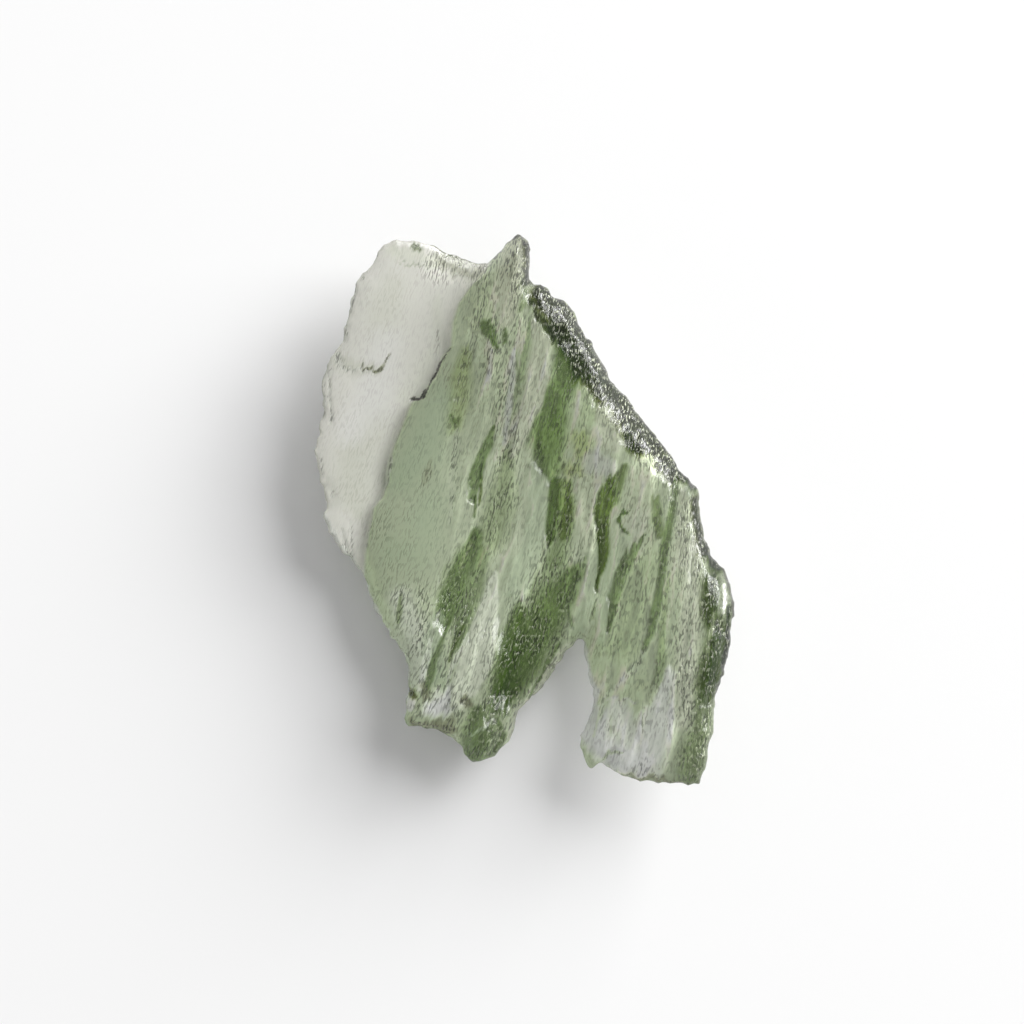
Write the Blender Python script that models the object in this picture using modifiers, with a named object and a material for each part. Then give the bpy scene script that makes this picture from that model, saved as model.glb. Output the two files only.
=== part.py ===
"""A moldavite: one flat, fluted piece of natural green glass, resting on a small flat spot of its underside.

The stone is modelled in metres, +Z up, as it lies. X runs to the right across it and Y along its length, up to
the small horn. The origin is under the middle of its box, on the surface it rests on. A slab is cut to the
stone's outline and remeshed, and its two faces are then moved to the heights that the functions below give.
"""

import bmesh
import bpy
import numpy as np

NAME = "moldavite"
MM = 0.001

# Driving dimensions, in millimetres
SLAB_THICKNESS = 1.2
SLAB_ROUNDING = 0.4
GRID = 0.22
MOST_TRIANGLES = 9000

UNDERSIDE_RISE = 2.6
UNDERSIDE_REACH = (11.5, 15.5)
REST_SPOT_CENTRE = (0.1, -0.6)
REST_SPOT_DEPTH = 0.13

LIP_THICKNESS = 0.85
LIP_STEP = 0.55
LIP_STEP_WIDTH = 0.55
BACK_RISE = 1.0
BACK_REACH = 3.2
RIM_SHARE = 0.5
RIM_REACH = 0.7
CREST_HEIGHT = 0.9
CREST_REACH = 2.6
FOOT_THINNING = 0.35
FOOT_TOP, FOOT_END = -8.5, -14.0

FLOW_LEAN = 0.26
FLOW_SPREAD = 0.012
FLUTE_DEPTH, FLUTE_ACROSS, FLUTE_ALONG = 0.45, 1.35, 6.0
PIT_DEPTH, PIT_ACROSS, PIT_ALONG = 0.55, 1.1, 1.6
UNDER_DEPTH, UNDER_ACROSS, UNDER_ALONG = 0.3, 1.8, 3.6

# The outline from above, clockwise from the top of the clear lip
OUTLINE = [
    # The clear lip's top edge
    (-6.55, 14.8), (-5.7, 14.7), (-5, 14.55), (-4.45, 14.25), (-3.5, 13.9), (-2.8, 13.65), (-2.15, 13.6),
    (-1.85, 13.7),
    # The horn
    (-1.45, 14.1), (-1.1, 14.55), (-0.75, 14.8), (-0.45, 15.05), (-0.1, 15), (0.15, 14.7), (0.35, 14.2),
    (0.35, 12.75), (0.5, 12.4), (0.8, 12.45),
    # The right edge, with its scallops
    (1.25, 12.2), (1.7, 11.75), (2.25, 11.5), (2.55, 11.15), (3.1, 10.1), (3.6, 9.4), (3.9, 9), (4.2, 8.3),
    (4.45, 7.95), (4.95, 6.95), (5.4, 6.55), (5.85, 6), (6.25, 5.35), (6.95, 4.45), (7.8, 3.45), (8.2, 2.95),
    (8.45, 2.35), (9, 1.7), (9.5, 1.25), (9.65, 0.65), (9.75, -0.6), (9.95, -1.5), (10.2, -2.3), (10.45, -2.8),
    (11, -3.3), (11.3, -4.05), (11.45, -5), (11.5, -5.6), (11.3, -6.5), (11.3, -7.2), (11.15, -7.6),
    (11.05, -8.4), (10.8, -9.4), (10.5, -10.15), (10.4, -10.55), (10.5, -10.8), (10.35, -11.3), (10.3, -12.25),
    (10.05, -13), (10, -13.8), (9.75, -14.45), (9.6, -14.9),
    # The foot of the right leg
    (9, -15.05), (7.9, -15), (6.95, -14.9), (5.95, -14.85), (5.1, -14.55), (4.55, -14.1), (4.25, -14),
    (3.65, -14.3), (3.3, -13.85), (3.15, -12.75),
    # The notch
    (3.5, -11.8), (3.85, -10.75), (3.9, -10.25), (3.65, -9.5), (3.6, -8.65), (3.4, -8.2), (3.35, -7.55),
    (3.2, -7.2), (2.7, -7.55), (2.1, -8.3), (1.5, -9.15), (0.9, -9.95), (0.2, -10.55), (-0.3, -11.3),
    # The rounded tip and the foot of the left leg
    (-0.6, -12.15), (-0.9, -12.85), (-1.4, -13.45), (-2.15, -13.9), (-2.8, -13.95), (-3.2, -13.65),
    (-3.45, -13.15), (-3.95, -12.6), (-4.9, -12.2), (-5.7, -12), (-6.45, -11.9),
    # The left edge
    (-6.55, -11.15), (-6.55, -10.7), (-6.4, -9.95), (-6.4, -8.85), (-6.65, -8.1), (-7.35, -7.05), (-7.8, -6.25),
    (-8.35, -5.35), (-8.65, -4.35), (-8.95, -3.6), (-9.55, -2.8), (-10.25, -2.1), (-10.9, -0.9), (-11.05, -0.2),
    (-10.85, 0.4), (-11.2, 1.5), (-11.5, 2.6), (-11.4, 3.8), (-11.05, 5.25), (-11.1, 6.1), (-11.2, 6.65),
    (-11, 7.45), (-10.6, 8.35), (-10.05, 9.2), (-9.7, 10.55), (-9.4, 11.85), (-9, 12.8), (-8.45, 13.3),
    (-7.95, 14.15), (-7.3, 14.65),
]
OUTLINE_STEPS = 4

# The step between the thin clear lip and the body, from top to bottom
LIP_LINE = [
    (-1.7, 14.25), (-2.1, 13.15), (-2.95, 12.25), (-3.6, 11.35), (-3.95, 10.3), (-4.05, 9.05), (-4.55, 8.35),
    (-4.9, 7.35), (-5.4, 6.7), (-5.7, 6.15), (-6.2, 5.95), (-6.65, 4.85), (-7.2, 3.45), (-7.5, 2.4),
    (-7.5, 1.5), (-7.85, 0.65), (-8.3, 0.1), (-8.5, -0.9), (-8.75, -2.4), (-8.9, -3.9), (-9.2, -5),
]

# The highest line of the back, from the horn down the right leg. To its right lies the rough, pitted slope
CREST_LINE = [
    (0, 13.5), (0.7, 11.6), (2, 9), (3.1, 6.4), (4.5, 4.1), (6.6, 2.3), (8.2, 1.2), (9, -1.5), (9.4, -4.5),
    (8.9, -8), (8.4, -12),
]

# Rounded swellings of the body: place, reach across and along, and height
MOUNDS = [
    ("horn", (-0.6, 13.4), (0.9, 1.5), 0.7),
    ("shoulder", (4.2, 7.2), (2.6, 3.2), 0.35),
    ("middle of the back", (0.5, -0.5), (4.5, 6.0), 0.45),
    ("right hip", (10.2, -6), (1.3, 3.0), 0.5),
    ("rounded tip", (-2.4, -12.6), (1.5, 1.5), 0.75),
    ("left leg", (-3.2, -8.5), (1.8, 2.6), 0.35),
    ("thick of the lip", (-8, 11), (2.2, 2.6), 0.2),
]

# Grooves and ribs on the upper face: line of places with half widths, and height (below 0 for a groove)
GROOVES_AND_RIBS = [
    ("leaf groove", [(-1.65, 4.7, 0.1), (-2.1, 3.55, 0.3), (-2.6, 2.2, 0.35), (-2.8, 0.6, 0.15)], -0.34),
    ("lower left hollow", [
        (-2.7, -1.5, 0.3), (-3.6, -3.6, 0.7), (-4.1, -5, 0.7), (-4.4, -6.2, 0.5)
    ], -0.42),
    ("left foot groove", [(-4.1, -6.1, 0.15), (-4.9, -8.1, 0.25), (-5.4, -9.9, 0.2)], -0.25),
    ("groove left of the upper blade", [
        (0.3, 10.4, 0.1), (0.1, 8.5, 0.2), (-0.2, 6.7, 0.2), (-0.7, 4.3, 0.1)
    ], -0.25),
    ("hollow right of the upper blade", [
        (2, 9.9, 0.3), (2.3, 7.6, 0.7), (1.4, 5, 1), (1.4, 2.3, 0.7)
    ], -0.4),
    ("short groove", [(1.75, 1.4, 0.33), (1.7, 0.2, 0.36), (1.4, -2.1, 0.15)], -0.4),
    ("middle groove", [
        (5.2, 2, 0.3), (4.4, 0.4, 0.45), (4.35, -1.2, 0.4), (4.2, -3, 0.25), (4, -4.5, 0.1)
    ], -0.42),
    ("slanting groove", [(6.5, -1.6, 0.1), (5.7, -2.9, 0.35), (5, -4.6, 0.3), (4.6, -6.7, 0.15)], -0.34),
    ("long right groove", [(8.3, 1.6, 0.15), (7.8, -1.4, 0.3), (7.3, -5, 0.25), (6.6, -7.7, 0.2)], -0.32),
    ("step to the right foot", [(6.6, -7.7, 0.15), (5.6, -9, 0.25), (4.3, -11, 0.15)], -0.25),
    ("notch hollow", [
        (2.8, -3.5, 0.45), (1.8, -4.8, 1), (0.9, -6.4, 1.2), (0.1, -8, 1.1), (-0.9, -10, 0.8)
    ], -0.46),
    ("upper blade", [
        (0.6, 10.2, 0.2), (0.9, 9, 0.5), (0.8, 7.5, 0.65), (0.1, 4.9, 0.5), (-0.6, 2.9, 0.15)
    ], 0.34),
    ("light patch", [(3.3, 6.5, 0.25), (3.6, 5.6, 0.5), (3.4, 4.8, 0.45)], 0.25),
    ("lower light patch", [(4.4, 5.4, 0.4), (4.6, 4.3, 0.65), (4.8, 3.4, 0.5)], 0.28),
    ("middle blade", [
        (0.5, 2.4, 0.2), (0.8, 1.6, 0.45), (0.8, 0, 0.55), (0.1, -3, 0.65), (-0.4, -4.5, 0.5)
    ], 0.32),
    ("right middle blade", [(3.3, 1.5, 0.4), (3.5, 0.3, 0.55), (3.5, -1.1, 0.55), (3.5, -2.2, 0.35)], 0.32),
    ("blade between two grooves", [
        (5.7, -1.4, 0.3), (5, -2.6, 0.45), (4.3, -5.5, 0.3), (4.2, -7.2, 0.25)
    ], 0.24),
    ("white blade", [
        (-1.7, -3.8, 0.2), (-2, -5.6, 0.6), (-2.3, -7.3, 0.85), (-3.1, -9.5, 0.8), (-3.6, -10.6, 0.4)
    ], 0.4),
    ("long rib", [(7, -0.6, 0.3), (6.9, -2.8, 0.5), (6.2, -5, 0.65), (5.7, -7.2, 0.5)], 0.24),
    ("bright band", [(8.8, 1, 0.3), (8.8, -0.3, 0.35), (8.6, -1.7, 0.35), (8.4, -3, 0.25)], 0.25),
    ("right leg rib", [(8.3, -4, 0.3), (7.9, -8.2, 0.5), (7.6, -11, 0.7), (6.9, -13.5, 0.9)], 0.32),
]
FORM_REACH = 1.5


def through(points, steps):
    """A smooth closed line through the points, with this many steps from each to the next."""
    here = np.array(points, dtype=float)
    before, after, beyond = (np.roll(here, shift, axis=0) for shift in (1, -1, -2))
    rows = []
    for step in range(steps):
        t = step / steps
        bend = (2 * before - 5 * here + 4 * after - beyond) * t**2
        twist = (3 * here - before - 3 * after + beyond) * t**3
        rows.append(here + 0.5 * ((after - before) * t + bend + twist))
    return np.stack(rows, axis=1).reshape(-1, 2)


def nearest(places, line):
    """Each place's distance to a line."""
    line = np.array(line, dtype=float)
    distance = np.full(len(places), np.inf)
    for start, run in zip(line, line[1:] - line[:-1]):
        along = np.clip((places - start) @ run / (run @ run), 0, 1)
        distance = np.minimum(distance, np.linalg.norm(places - start - along[:, None] * run, axis=1))
    return distance


def ease(value):
    """A smooth way from 0 to 1."""
    value = np.clip(value, 0, 1)
    return value * value * (3 - 2 * value)


def right_of(line, x, y):
    """How far right of a line that runs from top to bottom each place is."""
    down = np.array(line[::-1], dtype=float)
    return x - np.interp(y, down[:, 1], down[:, 0])


def chance(column, row, seed):
    """A repeatable number from 0 to 1 for each cell of a grid."""
    return np.mod(np.sin(column * 12.9898 + row * 78.233 + seed * 37.719) * 43758.5453, 1.0)


def dishes(across, along, seed):
    """Shallow dishes side by side, 0 in the middle of each and near 1 on the sharp crests between them."""
    column, row = np.floor(across), np.floor(along)
    nearest_middle = np.full(len(across), 2.0)
    for right in (-1, 0, 1):
        for up in (-1, 0, 1):
            a, b = column + right, row + up
            gap_across = a + chance(a, b, seed) - across
            gap_along = b + chance(a, b, seed + 1) - along
            nearest_middle = np.minimum(nearest_middle, gap_across**2 + gap_along**2)
    return np.minimum(nearest_middle, 1)


def form(places, line):
    """A groove's or rib's share of its full height at each place, from its line with half widths."""
    share = np.zeros(len(places))
    for start, end in zip(np.array(line), np.array(line[1:])):
        run = end[:2] - start[:2]
        along = np.clip((places - start[:2]) @ run / (run @ run), 0, 1)
        away = np.linalg.norm(places - start[:2] - along[:, None] * run, axis=1)
        half_width = start[2] + (end[2] - start[2]) * along
        share = np.maximum(share, ease(1 - away / (half_width * FORM_REACH)))
    return share


def underside(x, y, edge):
    """The height of the lower face: a bowl with shallow dishes, lowest at the spot it rests on."""
    off_across = (x - REST_SPOT_CENTRE[0]) / UNDERSIDE_REACH[0]
    off_along = (y - REST_SPOT_CENTRE[1]) / UNDERSIDE_REACH[1]
    off_middle = off_across**2 + off_along**2
    dished = UNDER_DEPTH * dishes((x + 0.2 * y) / UNDER_ACROSS, y / UNDER_ALONG, seed=3)
    clear_of_spot = ease((off_middle - 0.06) / 0.2) * ease(edge / 0.8)
    return UNDERSIDE_RISE * off_middle - REST_SPOT_DEPTH + (UNDER_DEPTH - dished) * clear_of_spot


def thickness(x, y, edge):
    """How thick the stone is under each place, before its grooves and ribs."""
    past_step = right_of(LIP_LINE, x, y)
    body = ease(past_step / LIP_STEP_WIDTH + 0.5)
    thick = LIP_THICKNESS + body * LIP_STEP
    thick += BACK_RISE * (1 - np.exp(-np.clip(past_step, 0, None) / BACK_REACH))
    from_crest = nearest(np.column_stack([x, y]), CREST_LINE)
    thick += body * CREST_HEIGHT * np.exp(-((from_crest / CREST_REACH) ** 2))
    for _, (middle_x, middle_y), (reach_x, reach_y), height in MOUNDS:
        thick += height * np.exp(-(((x - middle_x) / reach_x) ** 2) - ((y - middle_y) / reach_y) ** 2)
    thick *= 1 - FOOT_THINNING * ease((y - FOOT_TOP) / (FOOT_END - FOOT_TOP))
    return thick * (1 - (1 - RIM_SHARE) * np.exp(-edge / RIM_REACH))


def relief(x, y, edge):
    """The grooves, ribs, flutes and pits of the upper face."""
    places = np.column_stack([x, y])
    body = ease(right_of(LIP_LINE, x, y) / 1.5)
    rough_slope = ease(right_of(CREST_LINE, x, y) / 0.8 + 0.3) * ease((y + 3) / 3)
    fluted = body * (1 - rough_slope) * ease((x + 5.5) / 3)
    flow = x - (FLOW_LEAN - FLOW_SPREAD * x) * y
    height = FLUTE_DEPTH * fluted * (dishes(flow / FLUTE_ACROSS, y / FLUTE_ALONG, seed=5) - 0.5)
    height += PIT_DEPTH * rough_slope * (dishes(flow / PIT_ACROSS, y / PIT_ALONG, seed=9) - 0.5)
    for _, line, rise in GROOVES_AND_RIBS:
        height += rise * form(places, line)
    return height * ease(edge / 0.6)


def cut_slab():
    """The outline as a slab with rounded rims, remeshed into an even grid."""
    curve = bpy.data.curves.new("outline", "CURVE")
    curve.dimensions = "2D"
    curve.fill_mode = "BOTH"
    curve.extrude = (SLAB_THICKNESS / 2 - SLAB_ROUNDING) * MM
    curve.bevel_depth = SLAB_ROUNDING * MM
    curve.offset = -SLAB_ROUNDING * MM
    curve.bevel_resolution = 3
    corners = through(OUTLINE, OUTLINE_STEPS) * MM
    spline = curve.splines.new("POLY")
    spline.points.add(len(corners) - 1)
    for point, (x, y) in zip(spline.points, corners):
        point.co = (x, y, 0, 1)
    spline.use_cyclic_u = True
    outline = bpy.data.objects.new("outline", curve)
    bpy.context.scene.collection.objects.link(outline)
    bpy.context.view_layer.update()

    graph = bpy.context.evaluated_depsgraph_get()
    mesh = bpy.data.meshes.new_from_object(outline.evaluated_get(graph))
    bpy.data.objects.remove(outline)
    mesh.name = NAME
    shape = bmesh.new()
    shape.from_mesh(mesh)
    bmesh.ops.remove_doubles(shape, verts=shape.verts, dist=0.001 * MM)
    shape.to_mesh(mesh)
    shape.free()
    return mesh


def applied(mesh, modifier_type, **settings):
    """The mesh after one modifier."""
    carrier = bpy.data.objects.new("carrier", mesh)
    bpy.context.scene.collection.objects.link(carrier)
    modifier = carrier.modifiers.new(modifier_type.lower(), modifier_type)
    for name, value in settings.items():
        setattr(modifier, name, value)
    bpy.context.view_layer.update()
    graph = bpy.context.evaluated_depsgraph_get()
    changed = bpy.data.meshes.new_from_object(carrier.evaluated_get(graph))
    bpy.data.objects.remove(carrier)
    bpy.data.meshes.remove(mesh)
    return changed


def shape_faces(mesh):
    """Moves the slab's two faces, and the rim between them, to the stone's heights."""
    places = np.empty(len(mesh.vertices) * 3)
    mesh.vertices.foreach_get("co", places)
    places = places.reshape(-1, 3) / MM
    x, y = places[:, 0], places[:, 1]
    rim = through(OUTLINE, OUTLINE_STEPS)
    edge = nearest(places[:, :2], np.vstack([rim, rim[:1]]))
    low = underside(x, y, edge)
    high = low + thickness(x, y, edge) + relief(x, y, edge)
    share = np.clip(places[:, 2] / SLAB_THICKNESS + 0.5, 0, 1)
    places[:, 2] = low + (high - low) * share
    mesh.vertices.foreach_set("co", (places * MM).ravel())
    mesh.update()


def flatten_rest_spot(mesh):
    """Cuts the lowest part of the underside off flat, and closes it with one flat face."""
    shape = bmesh.new()
    shape.from_mesh(mesh)
    everything = shape.verts[:] + shape.edges[:] + shape.faces[:]
    cut = bmesh.ops.bisect_plane(
        shape, geom=everything, dist=0.0001 * MM, plane_co=(0, 0, 0), plane_no=(0, 0, 1), clear_inner=True
    )
    border = [item for item in cut["geom_cut"] if isinstance(item, bmesh.types.BMEdge)]
    bmesh.ops.contextual_create(shape, geom=border)
    bmesh.ops.recalc_face_normals(shape, faces=shape.faces)
    shape.to_mesh(mesh)
    shape.free()


def green_glass():
    """The part's own finish."""
    material = bpy.data.materials.new("green natural glass")
    material.use_nodes = True
    finish = material.node_tree.nodes["Principled BSDF"]
    finish.inputs["Base Color"].default_value = (0.36, 0.45, 0.29, 1)
    finish.inputs["Roughness"].default_value = 0.2
    finish.inputs["Metallic"].default_value = 0
    finish.inputs["IOR"].default_value = 1.49
    finish.inputs["Transmission Weight"].default_value = 0.9
    return material


def main():
    for leftover in list(bpy.data.objects):
        bpy.data.objects.remove(leftover)
    mesh = applied(cut_slab(), "REMESH", mode="VOXEL", voxel_size=GRID * MM)
    shape_faces(mesh)
    mesh = applied(mesh, "TRIANGULATE")
    mesh = applied(mesh, "DECIMATE", ratio=MOST_TRIANGLES / len(mesh.polygons))
    flatten_rest_spot(mesh)
    mesh.shade_smooth()
    mesh.materials.append(green_glass())
    stone = bpy.data.objects.new(NAME, mesh)
    collection = bpy.data.collections.new(NAME)
    bpy.context.scene.collection.children.link(collection)
    collection.objects.link(stone)


main()
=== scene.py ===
"""The finished moldavite: natural green glass, fluted and etched, on a plain pale floor in soft light.

The stone is one closed shell. Its upper face carries the flutes, pits, grooves and blades. Its glass is
half clear, and most of its colour lies in the tones that are given for its upper face, mark by mark. These
tones carry painted shade and painted highlights along with colour, and are worked out against the lamps.
"""

import bpy
import numpy as np
from bpy.props import FloatProperty, FloatVectorProperty, PointerProperty
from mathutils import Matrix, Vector


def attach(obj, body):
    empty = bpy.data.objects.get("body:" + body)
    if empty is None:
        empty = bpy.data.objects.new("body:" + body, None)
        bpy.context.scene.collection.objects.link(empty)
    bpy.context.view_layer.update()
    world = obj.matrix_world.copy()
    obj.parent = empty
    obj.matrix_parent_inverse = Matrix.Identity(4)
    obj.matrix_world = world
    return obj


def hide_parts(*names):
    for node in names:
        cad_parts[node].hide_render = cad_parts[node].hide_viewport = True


bl_info = {
    "name": "Moldavite",
    "version": (1, 0, 0),
    "blender": (4, 5, 0),
    "location": "3D Viewport > Sidebar > Moldavite",
    "description": "Models a fluted piece of natural green glass and its studio stage",
    "category": "Object",
}

MM = 0.001
NODE = "moldavite"

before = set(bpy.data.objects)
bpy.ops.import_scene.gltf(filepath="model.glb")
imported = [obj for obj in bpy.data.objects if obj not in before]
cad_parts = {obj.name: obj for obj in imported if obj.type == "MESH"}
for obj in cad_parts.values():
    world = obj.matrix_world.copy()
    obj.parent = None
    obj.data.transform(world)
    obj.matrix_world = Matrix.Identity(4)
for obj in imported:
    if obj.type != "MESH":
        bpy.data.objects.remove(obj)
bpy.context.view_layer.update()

# The slab that the stone is shaped from, in millimetres
SLAB_THICKNESS = 1.2
SLAB_ROUNDING = 0.22
GRID = 0.166

# Points closer than this are one, in metres. A face is an upper one when its normal rises more than this
WELD_GAP, CUT_GAP = 0.001 * MM, 1e-7
UPWARD = 0.3

# The bowl of the underside
UNDERSIDE_RISE = 2.6
UNDERSIDE_REACH = (11.5, 15.5)
REST_SPOT_CENTRE = (0.1, -0.6)
REST_SPOT_DEPTH = 0.13
UNDER_DEPTH, UNDER_ACROSS, UNDER_ALONG = 0.3, 1.8, 3.6
UNDER_LEAN, UNDER_RIM = 0.2, 0.8
SPOT_CLEAR_FROM, SPOT_CLEAR_OVER = 0.06, 0.2
LIP_DISHES, LIP_SIDE_FROM, LIP_SIDE_OVER = 0.25, -6, 5

# Thickness of the lip and the body
LIP_THICKNESS = 0.85
LIP_STEP = 0.55
LIP_STEP_WIDTH = 0.25
BACK_RISE = 1.0
BACK_REACH = 3.2
RIM_SHARE = 0.5
RIM_REACH = 0.7
CREST_HEIGHT = 0.9
CREST_REACH = 2.6
FOOT_THINNING = 0.35
FOOT_TOP, FOOT_END = -8.5, -14.0

# The way the etched lines run, and the sizes of what the etching left
FLOW_LEAN = 0.26
FLOW_SPREAD = 0.012
FLUTE_ACROSS, FLUTE_ALONG = 1.35, 6.0
THREAD_DEPTH, THREAD_ACROSS, THREAD_ALONG = 0.16, 0.42, 2.4
PIT_ACROSS, PIT_ALONG = 1.1, 1.6
CHIP_DEPTH, CHIP_ACROSS, CHIP_ALONG = 0.16, 0.36, 0.6
BODY_REACH, RELIEF_RIM = 1.5, 0.5
ROUGH_REACH, ROUGH_START, ROUGH_END, ROUGH_FADE = 0.8, 0.3, -3, 3
FLUTES_FROM, FLUTES_FADE = -5.5, 3
FLOW_DOWN = 30

# Numbers that give each cell of a grid a value of its own
ODD_COLUMN, ODD_ROW, ODD_SEED, ODD_SCALE = 12.9898, 78.233, 37.719, 43758.5453

# The outline from above, clockwise from the top of the clear lip
OUTLINE = [
    # The clear lip's top edge
    (-6.55, 14.8), (-5.7, 14.7), (-5, 14.55), (-4.45, 14.25), (-3.5, 13.9), (-2.8, 13.65),
    (-2.15, 13.6), (-1.85, 13.7),
    # The horn
    (-1.45, 14.1), (-1.1, 14.55), (-0.75, 14.8), (-0.45, 15.05), (-0.1, 15), (0.15, 14.7), (0.35, 14.2),
    (0.35, 12.75), (0.5, 12.4), (0.8, 12.45),
    # The right edge, with its scallops
    (1.25, 12.2), (1.7, 11.75), (2.25, 11.5), (2.55, 11.15), (3.1, 10.1), (3.6, 9.4), (3.9, 9),
    (4.2, 8.3), (4.45, 7.95), (4.95, 6.95), (5.4, 6.55), (5.85, 6), (6.25, 5.35), (6.95, 4.45),
    (7.8, 3.45), (8.2, 2.95), (8.45, 2.35), (9, 1.7), (9.5, 1.25), (9.65, 0.65), (9.75, -0.6),
    (9.95, -1.5), (10.2, -2.3), (10.45, -2.8), (11, -3.3), (11.3, -4.05), (11.45, -5), (11.5, -5.6),
    (11.3, -6.5), (11.3, -7.2), (11.15, -7.6), (11.05, -8.4), (10.8, -9.4), (10.5, -10.15),
    (10.4, -10.55), (10.5, -10.8), (10.35, -11.3), (10.3, -12.25), (10.05, -13), (10, -13.8),
    (9.75, -14.45), (9.6, -14.9),
    # The foot of the right leg
    (9, -15.05), (7.9, -15), (6.95, -14.9), (5.95, -14.85), (5.1, -14.55), (4.55, -14.1), (4.25, -14),
    (3.65, -14.3), (3.3, -13.85), (3.15, -12.75),
    # The notch
    (3.5, -11.8), (3.85, -10.75), (3.9, -10.25), (3.65, -9.5), (3.6, -8.65), (3.4, -8.2), (3.35, -7.55),
    (3.2, -7.2), (2.7, -7.55), (2.1, -8.3), (1.5, -9.15), (0.9, -9.95), (0.2, -10.55), (-0.3, -11.3),
    # The rounded tip and the foot of the left leg
    (-0.6, -12.15), (-0.9, -12.85), (-1.4, -13.45), (-2.15, -13.9), (-2.8, -13.95), (-3.2, -13.65),
    (-3.45, -13.15), (-3.95, -12.6), (-4.9, -12.2), (-5.7, -12), (-6.45, -11.9),
    # The left edge
    (-6.55, -11.15), (-6.55, -10.7), (-6.4, -9.95), (-6.4, -8.85), (-6.65, -8.1), (-7.35, -7.05),
    (-7.8, -6.25), (-8.35, -5.35), (-8.65, -4.35), (-8.95, -3.6), (-9.55, -2.8), (-10.25, -2.1),
    (-10.9, -0.9), (-11.05, -0.2), (-10.85, 0.4), (-11.2, 1.5), (-11.5, 2.6), (-11.4, 3.8),
    (-11.05, 5.25), (-11.1, 6.1), (-11.2, 6.65), (-11, 7.45), (-10.6, 8.35), (-10.05, 9.2),
    (-9.7, 10.55), (-9.4, 11.85), (-9, 12.8), (-8.45, 13.3), (-7.95, 14.15), (-7.3, 14.65),
]
OUTLINE_STEPS = 4

# The step between the thin clear lip and the body, from top to bottom
LIP_LINE = [
    (-1.7, 14.25), (-2.1, 13.15), (-2.95, 12.25), (-3.6, 11.35), (-3.95, 10.3), (-4.05, 9.05),
    (-4.55, 8.35), (-4.9, 7.35), (-5.4, 6.7), (-5.7, 6.15), (-6.2, 5.95), (-6.65, 4.85), (-7.2, 3.45),
    (-7.5, 2.4), (-7.5, 1.5), (-7.85, 0.65), (-8.3, 0.1), (-8.5, -0.9), (-8.75, -2.4), (-8.9, -3.9),
    (-9.2, -5),
]

# The highest line of the back, from the horn down the right leg. The rough, pitted slope is to its right
CREST_LINE = [
    (0, 13.5), (0.7, 11.6), (2, 9), (3.1, 6.4), (4.5, 4.1), (6.6, 2.3), (8.2, 1.2), (9, -1.5),
    (9.4, -4.5), (8.9, -8), (8.4, -12),
]

# Rounded swellings of the body: place, reach across and along, and height
MOUNDS = [
    ("horn", (-0.6, 13.4), (0.9, 1.5), 0.7),
    ("shoulder", (4.2, 7.2), (2.6, 3.2), 0.35),
    ("middle of the back", (0.5, -0.5), (4.5, 6.0), 0.45),
    ("right hip", (10.2, -6), (1.3, 3.0), 0.5),
    ("rounded tip", (-2.4, -12.6), (1.5, 1.5), 0.75),
    ("left leg", (-3.2, -8.5), (1.8, 2.6), 0.35),
    ("thick of the lip", (-8, 11), (2.2, 2.6), 0.2),
]

# How finely the marks are drawn, in millimetres and in shares of their width and depth, and how strong the
# painted light and shade on the crests and hollows of threads and chips is
FINEST_BLUR, MARK_REACH = 0.08, 2.2
SHAPE_CRISPNESS = 0.7
TEAR_ALONG, TEAR_ACROSS = 0.22, 0.06
TEAR_ACROSS_SIZE, TEAR_ALONG_SIZE = 0.16, 0.7
RELIEF_SHADE, RELIEF_SHADE_MIDDLE = 0.7, 0.28
BLADE_SHARE, GROOVE_SHARE = 0.35, 0.75
GRAINY_CRISPNESS = 0.1

# How far up the rim's side the marks start to show, and over how much of it, as shares of its height
MARKS_FADE_FROM, MARKS_FADE_OVER = 0.55, 0.22

# Small chips along the rim
NIBBLE_DEPTH, NIBBLE_REACH, NIBBLE_SIZE = 0.09, 0.35, 0.32

# How the glass looks from above: what it scatters, what comes through from the floor, and what it mirrors
SCATTERED = (0.365, 0.357, 0.374)
THROUGH, GAP_REACH = (0.341, 0.336, 0.334), 2.0
SHEEN = (0.033, 0.046, 0.022)
FLECK_LIGHT, FLECK_SHADE = 0.018, 0.4
# The tint is painted darker on faces turned to LIGHT_WAY and lighter on faces turned from it, as reverse
# shading; LEDGES_EVENED is the share of the fine relief's shading so evened out
LIGHT_WAY = (0.66, 0.5, 0.56)
LEDGES_EVENED = 0.8
DARKEST = 0.25
LEAST_LIT, MOST_LIT = 0.3, 3

# The glass, and the flecks of its surface; the white flecks are painted glints as well as bumps
GLASS_IOR = 1.49
CLEARNESS = 0.5
WHITE_SIZE = (11.0, 4.2, 1.0)
WHITE_FROM, WHITE_FULL = 0.55, 0.66
DARK_SIZE = (10.5, 2.7, 1.3)
PATCH_SIZE = (1.5, 0.5, 0.5)
PATCH_LEAST, PATCH_MOST = 0.35, 1.35
PATCH_FROM, PATCH_FULL, PATCH_DETAIL = 0.38, 0.62, 2.0
DARK_FROM, DARK_FULL = 0.5, 0.6
FLECK_DETAIL, FLECK_BREAKUP = 0.6, 0.6
DARK_FLECKS = 1.8
GLINT_FLECKS = 0.46
GLINT_COLOUR = (0.89, 0.93, 0.7)
BUMP_HEIGHT = 0.022

# The stage
FLOOR_SIZE, FLOOR_ROUGHNESS = 2.0, 0.9
FLOOR_GAP = 0.02 * MM
CAMERA_PLACE = (-0.66 * MM, -0.14 * MM, 159.8 * MM)
CAMERA_LENS, CAMERA_SENSOR, CAMERA_NEAR = 100, 36, 5 * MM
KEY_WAY, KEY_DISTANCE, KEY_SIZE = (0.68, 0.54, 0.22), 1.6, 2.0
KEY_POWER = 79.0
LOW_WAY, LOW_DISTANCE, LOW_SIZE = (0.7, 0.5, 0.15), 1.6, 0.8
LOW_POWER = 24.0

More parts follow.
